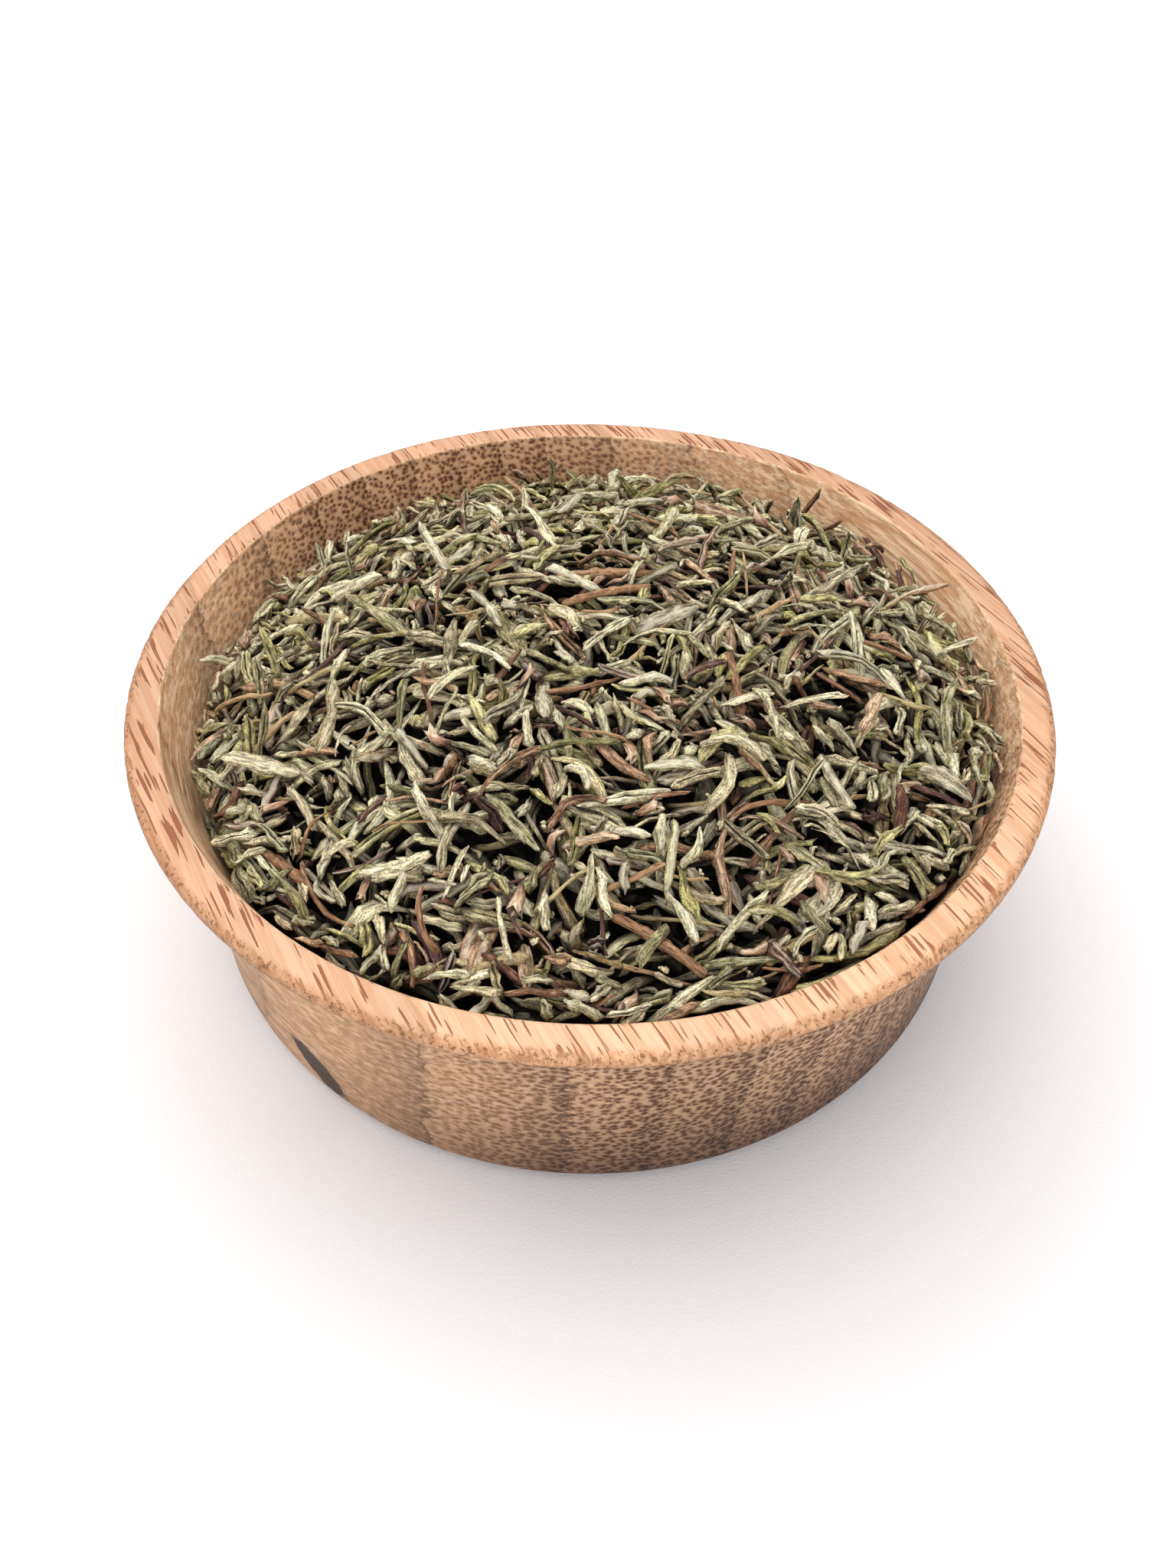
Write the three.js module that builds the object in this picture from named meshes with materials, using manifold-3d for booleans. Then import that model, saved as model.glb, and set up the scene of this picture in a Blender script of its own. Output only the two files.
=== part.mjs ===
// A small turned bamboo bowl heaped with dried thyme: the bowl, the mound of rolled leaves that fills
// it, and the loose pieces of stem lying on the mound. Lengths are millimetres and +Z is up. The
// origin is the centre of the bowl's flat base.
import * as THREE from "three";
import { mergeVertices } from "three/addons/utils/BufferGeometryUtils.js";
import Module from "manifold-3d";

// Driving dimensions: the bowl.
const LIP_RADIUS = 45; // outermost edge of the lip
const BOWL_HEIGHT = 29; // table to the flat top of the lip
const LIP_INNER = 41.6; // inner edge of the lip, where the inside wall starts
const LIP_CREASE = 43.9; // the flat top ends here and rounds down to the outer edge
const LIP_ROUNDING = 0.8; // height of that rounding
const LIP_THICKNESS = 1.2; // lip top down to the start of the cove under it
const COVE_DEPTH = 1.9; // height of the cove under the lip
const WALL_TOP = 42.2; // outside wall where it meets the cove
const WALL_FOOT = 40.8; // outside wall just above the base corner
const BASE_CORNER = 2.7; // radius of the rounded bottom corner
const FLOOR_THICKNESS = 3.4; // solid bamboo under the thyme
const WALL_DRAFT = 0.18; // share of its radius that the inside wall loses on the way down
const FLOOR_CORNER_POWER = 8; // how late the inside wall turns into the floor
const TURN_STEPS = 48; // facets round every turned surface

// Driving dimensions: the thyme.
const GAP = 0.35; // clearance between neighbouring solids
const SHORTEST_EDGE = 0.005; // slivers finer than this close up where solids are joined
const HEAP_CROWN = 3.8; // top of the mound above the lip
const HEAP_EDGE = 5.2; // mean depth below the lip at which the mound meets the wall
const HEAP_LEAN = 1.8; // how much deeper it sits on its low side
const HEAP_LOW_SIDE = THREE.MathUtils.degToRad(145); // direction of that low side, from +X
const LEAF_COUNT = 250;
const LEAF_LENGTH = [7, 9.8];
const LEAF_WIDTH = [1.8, 2.4];
const LEAF_THICKNESS = 1.3;
const LEAF_ARCH = 0.5; // the middle of a leaf stands this far above its tips
const LEAF_TILT = 0.42; // steepest angle to the mound, in radians
const LEAF_ROLL = 0.3; // steepest turn about its own length, in radians
const LEAF_SINK = 0.35; // how far a leaf's middle lies below the mound's nominal surface
const CORE_COVER = 1.0; // the solid core ends this far below the nominal surface
const STEM_SIDES = 6;
const STEM_BEND = 0.05; // sideways bow of a stem, as a share of its length
const STEM_LIFT = 0.9; // a stem's middle above the nominal surface

// Loose stems: middle on the mound (x, y), heading in degrees from +X, length and radius.
const STEMS = [
  { name: "stem_crown_long", x: 1.5, y: 8.3, heading: 7, length: 11, radius: 0.5 },
  { name: "stem_crown_short", x: 1.4, y: 4.9, heading: 21, length: 9.3, radius: 0.45 },
  { name: "stem_upright", x: 13.3, y: -7.1, heading: -85, length: 8.6, radius: 0.48 },
  { name: "stem_straw", x: -28.5, y: 7.0, heading: -22, length: 7.4, radius: 0.6 },
  { name: "stem_front", x: 6, y: -33.6, heading: -31, length: 9, radius: 0.5 },
  { name: "stem_right", x: 16.5, y: -22.9, heading: 52, length: 9.1, radius: 0.42 },
  { name: "stem_left_front", x: -27.4, y: -24, heading: -40, length: 9.4, radius: 0.5 },
  { name: "stem_dark", x: -13, y: -33.4, heading: -60, length: 5.4, radius: 0.42 },
  { name: "stem_stub", x: -7.2, y: -35, heading: 9, length: 4.8, radius: 0.55 },
  { name: "stem_left", x: -29.4, y: -3.7, heading: -37, length: 6.6, radius: 0.45 },
  { name: "stem_right_front", x: 17, y: -33, heading: 35, length: 5.4, radius: 0.45 },
];

const COLOURS = { bamboo: 0xb78a62, thyme: 0x6f6f4c, stem: 0x9a6a4a };

// Same numbers on every run: a 32-bit linear congruential generator.
function makeRandom(seed) {
  let state = seed;
  return () => {
    state = (Math.imul(state, 1664525) + 1013904223) >>> 0;
    return state / 4294967296;
  };
}
const random = makeRandom(4);
const between = (low, high) => low + (high - low) * random();

// Inside radius of the bowl at height z: a wall that leans in and then rounds into the floor.
function wallRadius(z) {
  const depth = THREE.MathUtils.clamp((BOWL_HEIGHT - z) / (BOWL_HEIGHT - FLOOR_THICKNESS), 0, 1);
  return LIP_INNER * (1 - WALL_DRAFT * depth) * Math.cbrt(1 - depth ** FLOOR_CORNER_POWER);
}

// The same wall seen from the thyme, which stays clear of it.
const heapRadius = (z) => Math.max(0, wallRadius(z - GAP) - GAP);

// Heights at which the inside curve is sampled, closer together where it turns into the floor.
const INSIDE_DEPTHS = [1, 0.995, 0.97, 0.92, 0.84, 0.7, 0.5, 0.3, 0.12];
const insideHeight = (depth) => BOWL_HEIGHT - depth * (BOWL_HEIGHT - FLOOR_THICKNESS);

// Depth below the lip at which the mound meets the wall, in the direction of (x, y).
function edgeDepth(x, y) {
  return HEAP_EDGE + HEAP_LEAN * Math.cos(Math.atan2(y, x) - HEAP_LOW_SIDE);
}

// Nominal surface of the mound: a low dome from the crown down to the wall.
function moundHeight(x, y) {
  const share = (x * x + y * y) / heapRadius(BOWL_HEIGHT - HEAP_EDGE) ** 2;
  return BOWL_HEIGHT + HEAP_CROWN * (1 - share) - edgeDepth(x, y) * share;
}

// Points of a quarter round from one point to another, as x = radius and y = height.
function quarterRound(from, to, steps, startsUpright) {
  const points = [];
  for (let i = 1; i <= steps; i += 1) {
    const angle = (i / steps) * Math.PI / 2;
    const across = startsUpright ? 1 - Math.cos(angle) : Math.sin(angle);
    const along = startsUpright ? Math.sin(angle) : 1 - Math.cos(angle);
    points.push(new THREE.Vector2(from.x + (to.x - from.x) * across, from.y + (to.y - from.y) * along));
  }
  return points;
}

// Turns a profile round the Z axis.
function turn(profile) {
  return new THREE.LatheGeometry(profile, TURN_STEPS).rotateX(Math.PI / 2);
}

function bowlGeometry() {
  const base = new THREE.Vector2(WALL_FOOT - BASE_CORNER, 0);
  const foot = new THREE.Vector2(WALL_FOOT, BASE_CORNER);
  const coveBottom = new THREE.Vector2(WALL_TOP, BOWL_HEIGHT - LIP_THICKNESS - COVE_DEPTH);
  const lipUnderside = new THREE.Vector2(LIP_RADIUS, BOWL_HEIGHT - LIP_THICKNESS);
  const lipEdge = new THREE.Vector2(LIP_RADIUS, BOWL_HEIGHT - LIP_ROUNDING);
  const crease = new THREE.Vector2(LIP_CREASE, BOWL_HEIGHT);
  const wall = [0.35, 0.7].map((share) => new THREE.Vector2(
    WALL_FOOT + (WALL_TOP - WALL_FOOT) * share ** 1.6,
    BASE_CORNER + (coveBottom.y - BASE_CORNER) * share,
  ));
  const inside = INSIDE_DEPTHS.map(insideHeight).map((z) => new THREE.Vector2(wallRadius(z), z));
  return turn([
    new THREE.Vector2(0, 0),
    base,
    ...quarterRound(base, foot, 4, false),
    ...wall,
    coveBottom,
    ...quarterRound(coveBottom, lipUnderside, 3, true),
    lipEdge,
    ...quarterRound(lipEdge, crease, 3, true),
    new THREE.Vector2(LIP_INNER, BOWL_HEIGHT),
    ...inside.reverse(),
  ]);
}

// The packed thyme below the loose leaves: it fills the bowl and ends just under the mound's surface.
function coreGeometry() {
  const shares = [1, 0.85, 0.68, 0.5, 0.3, 0];
  const wallHeights = INSIDE_DEPTHS.map(insideHeight).filter((z) => z < BOWL_HEIGHT - HEAP_EDGE - HEAP_LEAN - 2);
  const wall = wallHeights.map((z) => new THREE.Vector2(heapRadius(z + GAP), z + GAP));
  const edge = heapRadius(BOWL_HEIGHT - HEAP_EDGE - HEAP_LEAN - CORE_COVER);
  const top = shares.map((share) => new THREE.Vector2(edge * share, BOWL_HEIGHT));
  const geometry = turn([...wall, ...top]);
  const positions = geometry.attributes.position;
  for (let i = 0; i < positions.count; i += 1) {
    if (positions.getZ(i) > BOWL_HEIGHT - 0.5) {
      positions.setZ(i, moundHeight(positions.getX(i), positions.getY(i)) - CORE_COVER);
    }
  }
  return geometry;
}

// Leaves only the positions, and joins the vertices that share a place.
function weld(geometry, tolerance = 1e-4) {
  const bare = geometry.clone();
  bare.deleteAttribute("normal");
  bare.deleteAttribute("uv");
  return mergeVertices(bare, tolerance);
}

// One rolled leaf: a three-sided spindle along X with its ridge up, arched so that its middle
// stands above its tips.
function leafGeometry(length, width, thickness) {
  const spindle = new THREE.SphereGeometry(1, 3, 3).rotateZ(Math.PI / 2).rotateX(-Math.PI / 2);
  const geometry = weld(spindle).center();
  const size = geometry.boundingBox.getSize(new THREE.Vector3());
  geometry.scale(length / size.x, width / size.y, thickness / size.z);
  const positions = geometry.attributes.position;
  for (let i = 0; i < positions.count; i += 1) {
    const along = positions.getX(i) / (length / 2);
    positions.setZ(i, positions.getZ(i) + LEAF_ARCH * (1 - along * along));
  }
  return geometry;
}

// Places a spindle on the mound: heading round Z, tilt out of the mound, roll about its own length.
function poseOnMound(x, y, z, heading, tilt, roll) {
  const step = 0.5;
  const ahead = moundHeight(x + step * Math.cos(heading), y + step * Math.sin(heading));
  const behind = moundHeight(x - step * Math.cos(heading), y - step * Math.sin(heading));
  const elevation = Math.atan((ahead - behind) / (2 * step)) + tilt;
  const turned = new THREE.Euler(roll, -elevation, heading, "ZYX");
  return new THREE.Matrix4().makeRotationFromEuler(turned).setPosition(x, y, z);
}

// True where a leaf of this length, so placed, keeps both tips off the bowl's wall.
function clearsWall(pose, length) {
  return [-0.5, -0.25, 0.25, 0.5].every((share) => {
    const point = new THREE.Vector3(share * length, 0, 0).applyMatrix4(pose);
    const halfWidth = Math.abs(share) < 0.5 ? LEAF_WIDTH[1] / 2 : 0;
    return Math.hypot(point.x, point.y) + halfWidth < heapRadius(Math.min(point.z, BOWL_HEIGHT)) - 0.1;
  });
}

// Leaves in a sunflower spiral over the mound, each turned until it clears the wall.
function leafGeometries() {
  const goldenAngle = Math.PI * (3 - Math.sqrt(5));
  const reach = heapRadius(BOWL_HEIGHT - HEAP_EDGE) - LEAF_WIDTH[1] / 2 - 0.3;
  const leaves = [];
  for (let i = 0; i < LEAF_COUNT; i += 1) {
    const radius = reach * Math.sqrt((i + 0.5) / LEAF_COUNT);
    const x = radius * Math.cos(i * goldenAngle);
    const y = radius * Math.sin(i * goldenAngle);
    const length = between(...LEAF_LENGTH);
    const z = moundHeight(x, y) - LEAF_SINK;
    const leaf = leafGeometry(length, between(...LEAF_WIDTH), LEAF_THICKNESS);
    for (let attempt = 0; attempt < 60; attempt += 1) {
      const pose = poseOnMound(x, y, z, between(0, 2 * Math.PI), between(-LEAF_TILT, LEAF_TILT),
        between(-LEAF_ROLL, LEAF_ROLL));
      if (clearsWall(pose, length)) {
        leaves.push(leaf.applyMatrix4(pose));
        break;
      }
    }
  }
  return leaves;
}

// One dry stem piece: a six-sided rod along a gently bowed line that lies on the mound.
function stemGeometry(stem, radius) {
  const heading = THREE.MathUtils.degToRad(stem.heading);
  const half = stem.length / 2;
  const lift = (x, y) => moundHeight(x, y) + STEM_LIFT;
  const ends = [-half, half].map((along) => {
    const x = stem.x + along * Math.cos(heading);
    const y = stem.y + along * Math.sin(heading);
    return new THREE.Vector3(x, y, lift(x, y));
  });
  const middle = new THREE.Vector3(
    stem.x - STEM_BEND * stem.length * Math.sin(heading),
    stem.y + STEM_BEND * stem.length * Math.cos(heading),
    lift(stem.x, stem.y) + STEM_BEND * stem.length,
  );
  const section = new THREE.Shape();
  for (let i = 0; i < STEM_SIDES; i += 1) {
    const angle = (i / STEM_SIDES) * 2 * Math.PI;
    section[i === 0 ? "moveTo" : "lineTo"](radius * Math.cos(angle), radius * Math.sin(angle));
  }
  section.closePath();
  const path = new THREE.QuadraticBezierCurve3(ends[0], middle, ends[1]);
  return new THREE.ExtrudeGeometry(section, { steps: 4, extrudePath: path, bevelEnabled: false });
}

const wasm = await Module();
wasm.setup();

// A closed three.js mesh as a solid that can be joined and cut.
function toSolid(geometry) {
  const merged = weld(geometry);
  return new wasm.Manifold(new wasm.Mesh({
    numProp: 3,
    vertProperties: new Float32Array(merged.attributes.position.array),
    triVerts: new Uint32Array(merged.index.array),
  }));
}

function toGeometry(solid) {
  const mesh = solid.getMesh();
  const geometry = new THREE.BufferGeometry();
  geometry.setAttribute("position", new THREE.BufferAttribute(mesh.vertProperties, 3));
  geometry.setIndex(new THREE.BufferAttribute(mesh.triVerts, 1));
  return geometry;
}

// Joins corners that a cut left nearly in one place, and drops the triangles that this flattens.
function closeSlivers(geometry) {
  const welded = weld(geometry, SHORTEST_EDGE);
  const corners = Array.from(welded.index.array);
  const kept = [];
  for (let i = 0; i < corners.length; i += 3) {
    const triangle = corners.slice(i, i + 3);
    if (new Set(triangle).size === 3) {
      kept.push(...triangle);
    }
  }
  welded.setIndex(kept);
  welded.computeVertexNormals();
  return welded;
}

// The mound: core and leaves joined, a groove cut for each stem, and cut-off scraps dropped.
function thymeGeometry() {
  const leaves = leafGeometries().map(toSolid);
  const grooves = STEMS.map((stem) => toSolid(stemGeometry(stem, stem.radius + GAP)));
  const heap = wasm.Manifold.union([toSolid(coreGeometry()), ...leaves]);
  const pieces = heap.subtract(wasm.Manifold.union(grooves)).decompose();
  pieces.sort((a, b) => b.volume() - a.volume());
  return closeSlivers(toGeometry(pieces[0]));
}

function makeMesh(name, geometry, colour, roughness) {
  const material = new THREE.MeshStandardMaterial({ color: colour, roughness, metalness: 0 });
  const mesh = new THREE.Mesh(geometry, material);
  mesh.name = name;
  return mesh;
}

const bowlOfThyme = new THREE.Group();
bowlOfThyme.add(makeMesh("bowl", bowlGeometry(), COLOURS.bamboo, 0.55));
bowlOfThyme.add(makeMesh("thyme_mound", thymeGeometry(), COLOURS.thyme, 0.85));
for (const stem of STEMS) {
  bowlOfThyme.add(makeMesh(stem.name, stemGeometry(stem, stem.radius), COLOURS.stem, 0.75));
}

export default bowlOfThyme;
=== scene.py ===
"""A small turned bamboo bowl heaped with dried thyme, dressed for the render.

The file is a lesson in cells. Lengths are metres, +Z is up, and the origin is the centre of the
bowl's flat base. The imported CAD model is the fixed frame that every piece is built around.
"""

# %% [markdown]
# ## The frame
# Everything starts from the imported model, which says how wide the lip is and how high it stands.
# Sizes are kept in millimetres in the values below, because a bowl maker would read them that
# way, and one factor turns them into Blender's metres.

# %% Load the frame
from math import cos, pi, radians, sin

import bpy
import numpy as np
from mathutils import Matrix, Vector


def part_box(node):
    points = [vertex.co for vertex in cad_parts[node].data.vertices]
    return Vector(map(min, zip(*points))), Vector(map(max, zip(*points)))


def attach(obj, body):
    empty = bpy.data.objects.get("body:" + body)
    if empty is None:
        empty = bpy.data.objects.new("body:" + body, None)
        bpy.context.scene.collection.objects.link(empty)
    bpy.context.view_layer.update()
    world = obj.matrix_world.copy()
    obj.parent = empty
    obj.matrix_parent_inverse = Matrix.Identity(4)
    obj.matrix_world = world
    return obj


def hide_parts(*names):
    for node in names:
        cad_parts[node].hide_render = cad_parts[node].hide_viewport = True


MM = 0.001
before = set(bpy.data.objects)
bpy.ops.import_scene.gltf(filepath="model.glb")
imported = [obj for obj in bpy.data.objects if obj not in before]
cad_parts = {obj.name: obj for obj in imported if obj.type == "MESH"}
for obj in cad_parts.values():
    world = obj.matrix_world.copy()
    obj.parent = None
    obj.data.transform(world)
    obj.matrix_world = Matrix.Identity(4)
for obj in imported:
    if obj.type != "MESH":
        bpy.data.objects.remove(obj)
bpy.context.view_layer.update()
LIP_RADIUS, _, BOWL_HEIGHT = np.array(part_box("bowl")[1])
print(f"lip radius {LIP_RADIUS / MM:.1f} mm, bowl height {BOWL_HEIGHT / MM:.1f} mm")

# %% [markdown]
# ## The camera
# The view is that of a phone held close over the table and tilted well down. A 28 mm equivalent
# lens this near makes the front of the bowl look larger than the back, so the distance matters
# as much as the angle. The camera's axes are written as the columns of its matrix.

# %% Camera
CAMERA_PLACE = np.array([-0.1, -94.97, 112.27]) * MM
CAMERA_PITCH = radians(46.74)  # how far the view looks below the horizon
CAMERA_ROLL = radians(-1.08)
FOCAL_PIXELS = 1657
FRAME_PIXELS = 2048  # the frame's long side
SENSOR_MM = 36


def make_camera():
    """Looks along (0, cos pitch, -sin pitch), with the image turned by the roll."""
    right = np.array([1.0, 0.0, 0.0])
    up = np.array([0.0, sin(CAMERA_PITCH), cos(CAMERA_PITCH)])
    back = np.array([0.0, -cos(CAMERA_PITCH), sin(CAMERA_PITCH)])
    turned_right = right * cos(CAMERA_ROLL) - up * sin(CAMERA_ROLL)
    turned_up = right * sin(CAMERA_ROLL) + up * cos(CAMERA_ROLL)
    columns = np.stack([turned_right, turned_up, back, CAMERA_PLACE], axis=1)
    data = bpy.data.cameras.new("camera")
    data.sensor_width = SENSOR_MM
    data.lens = SENSOR_MM * FOCAL_PIXELS / FRAME_PIXELS
    data.clip_start = 1 * MM
    camera = bpy.data.objects.new("camera", data)
    camera.matrix_world = Matrix((*columns.tolist(), (0, 0, 0, 1)))
    bpy.context.collection.objects.link(camera)
    return camera


bpy.context.scene.camera = make_camera()
print(f"camera lens {bpy.context.scene.camera.data.lens:.1f} mm")

# %% [markdown]
# ## Meshes from grids
# A surface here is a grid of points: rows run along one parameter and columns along the other,
# and one function turns such a grid into faces. Closed tubes and spindles are such grids too,
# with a point added at each end. A loop in Python over thousands of leaves would be slow, so
# whole arrays go into the mesh at once.

# %% Grids and meshes


def grid_quads(rows, columns):
    """Corner numbers of the quads of a grid whose columns close on themselves."""
    row, column = np.meshgrid(np.arange(rows - 1), np.arange(columns), indexing="ij")
    ahead = (column + 1) % columns
    corners = [row * columns + column, row * columns + ahead,
               (row + 1) * columns + ahead, (row + 1) * columns + column]
    return np.stack(corners, axis=-1).reshape(-1, 4)


def tube_faces(count, rings, sides):
    """Faces of count closed tubes, one after another: quads between the rings and fans to the
    two tips."""
    quads = grid_quads(rings, sides)
    step = np.arange(sides)
    ahead = (step + 1) % sides
    tail = np.stack([np.full(sides, rings * sides), ahead, step], axis=1)
    last = (rings - 1) * sides
    nose = np.stack([np.full(sides, rings * sides + 1), last + step, last + ahead], axis=1)
    shift = (np.arange(count) * (rings * sides + 2))[:, None, None]
    return [(shift + faces).reshape(-1, faces.shape[1]) for faces in (quads, tail, nose)]


def make_mesh(name, points, face_arrays, *materials):
    """A smooth-shaded mesh object from points and arrays of faces, one array for each size."""
    mesh = bpy.data.meshes.new(name)
    corners = np.concatenate([faces.ravel() for faces in face_arrays])
    sizes = np.concatenate([np.full(len(faces), faces.shape[1]) for faces in face_arrays])
    mesh.vertices.add(points.size // 3)
    mesh.vertices.foreach_set("co", np.ravel(points))
    mesh.loops.add(len(corners))
    mesh.loops.foreach_set("vertex_index", corners)
    mesh.polygons.add(len(sizes))
    mesh.polygons.foreach_set("loop_start", np.cumsum(sizes) - sizes)
    mesh.update(calc_edges=True)
    mesh.polygons.foreach_set("use_smooth", np.ones(len(sizes), dtype=bool))
    for material in materials:
        mesh.materials.append(material)
    made = bpy.data.objects.new(name, mesh)
    bpy.context.collection.objects.link(made)
    return made


def finish_piece(piece, replaced, slot, **attributes):
    """Stores a number or a vector for each vertex under every attribute's name, hangs the piece on
    the root body and hides the CAD node it stands for. The slot is not used."""
    count = len(piece.data.vertices)
    for name, values in attributes.items():
        values = np.ravel(values).astype(np.float32)
        if values.size == 3 * count:
            attribute = piece.data.attributes.new(name, "FLOAT_VECTOR", "POINT")
            attribute.data.foreach_set("vector", values)
        else:
            attribute = piece.data.attributes.new(name, "FLOAT", "POINT")
            attribute.data.foreach_set("value", values * np.ones(count, np.float32))
    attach(piece, "root")
    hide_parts(replaced)
    print(f"{piece.name}: {len(piece.data.polygons)} faces")


print(f"a tube of 3 rings and 8 sides has {sum(map(len, tube_faces(1, 3, 8)))} faces")

# %% [markdown]
# ## Colours and nodes
# Every colour is picked as an sRGB hex value, as a painter's chart gives it, and one function
# turns it to the linear numbers that light is worked out with. Every shader node is added by one
# function, so that a material reads as a list of steps. Map Range nodes take their value, the
# two ends it comes from and the two it goes to, in that order. A Mix node that layers colours
# takes its share as input 0 and the two colours as 6 and 7, and gives the result as output 2.

# %% Nodes
SMOOTH = {"interpolation_type": "SMOOTHSTEP"}
TIMES = {"operation": "MULTIPLY"}
TIMES_PLUS = {"operation": "MULTIPLY_ADD"}  # the first input times the second, plus the third
LESS = {"operation": "SUBTRACT"}
LAYER = {"data_type": "RGBA"}  # a coat of colour over another
GLAZE = {"data_type": "RGBA", "blend_type": "MULTIPLY"}  # a see-through coat that darkens it


def linear(hex_colour):
    """sRGB hex to linear RGBA: (c / 12.92) below 0.04045, else ((c + 0.055) / 1.055) ** 2.4."""
    channels = np.array([int(hex_colour[i:i + 2], 16) for i in (1, 3, 5)]) / 255
    low = channels / 12.92
    high = ((channels + 0.055) / 1.055) ** 2.4
    return (*np.where(channels <= 0.04045, low, high), 1.0)


def fill(tree, sockets, values):
    """Gives each input socket a link, a hex colour, or a number or vector."""
    for socket, value in values.items():
        if isinstance(value, bpy.types.NodeSocket):
            tree.links.new(value, sockets[socket])
        elif isinstance(value, str):
            sockets[socket].default_value = linear(value)
        else:
            sockets[socket].default_value = value


def node(tree, kind, settings=None, inputs=(), ramp=()):
    """Adds a shader node, sets its properties and the places and colours of its ramp, fills its
    inputs, which are named or else counted from the first, and returns its outputs."""
    made = tree.nodes.new("ShaderNode" + kind)
    for name, value in (settings or {}).items():
        setattr(made, name, value)
    if ramp:
        points = made.color_ramp.elements
        while len(points) < len(ramp):
            points.new(0.5)
        for point, (place, colour) in zip(points, ramp):
            point.position = place
            point.color = linear(colour)
    fill(tree, made.inputs, inputs if isinstance(inputs, dict) else dict(enumerate(inputs)))
    return made.outputs


def drawn_out_noise(tree, place, per_mm, detail, roughness=0.5):
    """Noise from 0 to 1 with so many features for each mm along X, Y and Z, so that a small
    number draws it out along that axis."""
    scaled = node(tree, "VectorMath", TIMES, (place, per_mm))["Vector"]
    return node(tree, "TexNoise", None, {
        "Vector": scaled, "Scale": 1, "Detail": detail, "Roughness": roughness})["Fac"]


def new_material(name):
    """A material with its node tree and the inputs of its Principled shader."""
    material = bpy.data.materials.new(name)
    material.use_nodes = True
    tree = material.node_tree
    return material, tree, tree.nodes["Principled BSDF"].inputs


print(f"middle grey #808080 sends back {linear('#808080')[0]:.2f} of the light")

# %% [markdown]
# ## The turned bowl
# The bowl is turned on a lathe from a block of glued bamboo strips, so its shape is one profile
# swept round an axis. A Spin modifier could do it, but working the grid out directly keeps the
# seam and the two poles closed and lets every row carry its own data. The profile repeats the
# sizes of the CAD node, with many more steps and with softened edges where a turner sands them.

# %% Sizes of the bowl
LIP_INNER = 41.6 * MM  # inner edge of the lip's flat top
LIP_CREASE = 43.9 * MM  # the flat top rounds down from here
LIP_ROUNDING = 0.8 * MM
LIP_THICKNESS = 1.2 * MM
COVE_DEPTH = 1.9 * MM  # the hollow under the lip
WALL_TOP = 42.2 * MM
WALL_FOOT = 40.8 * MM
WALL_FLARE_POWER = 1.6  # how late the outside wall opens out
BASE_CORNER = 2.7 * MM
FLOOR_THICKNESS = 3.4 * MM
WALL_DRAFT = 0.18  # share of its radius that the inside wall loses on the way down
FLOOR_CORNER_POWER = 8  # how late the inside wall turns into the floor
SANDED_EDGE = 0.5 * MM  # radius of the sanded inner edge of the lip
WALL_ROWS = 30
INSIDE_ROWS = 45
INSIDE_CROWDING = 1.7  # how much closer the inside rows lie towards the floor
TURN_STEPS = 400


def wall_radius(z):
    """Inside wall: lip radius * (1 - draft * depth) * cube root of (1 - depth ** power)."""
    depth = np.clip((BOWL_HEIGHT - z) / (BOWL_HEIGHT - FLOOR_THICKNESS), 0, 1)
    return LIP_INNER * (1 - WALL_DRAFT * depth) * np.cbrt(1 - depth ** FLOOR_CORNER_POWER)


def quarter_round(start, end, steps, starts_upright):
    """A quarter ellipse between two (radius, height) points, leaving out its first point."""
    angle = np.linspace(0, pi / 2, steps + 1)[1:]
    across, along = (1 - np.cos(angle), np.sin(angle))
    if not starts_upright:
        across, along = along, across
    start, end = np.array(start), np.array(end)
    return start + (end - start) * np.stack([across, along], axis=1)


def straight(start, end, steps):
    """Evenly spaced points on a line, leaving out its first point."""
    share = np.linspace(0, 1, steps + 1)[1:, None]
    return np.array(start) + (np.array(end) - np.array(start)) * share


print(f"opening {2 * LIP_INNER / MM:.1f} mm, lip {(LIP_RADIUS - LIP_INNER) / MM:.1f} mm wide")

# %% [markdown]
# ### The profile
# A turner would draw it as one line: out along the base, up the flared wall, into the hollow
# under the lip, round the lip, and down the inside to the floor. Each stretch below is a line,
# a quarter round or a formula in the height, and they follow one another without a gap.

# %% Bowl profile


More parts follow.
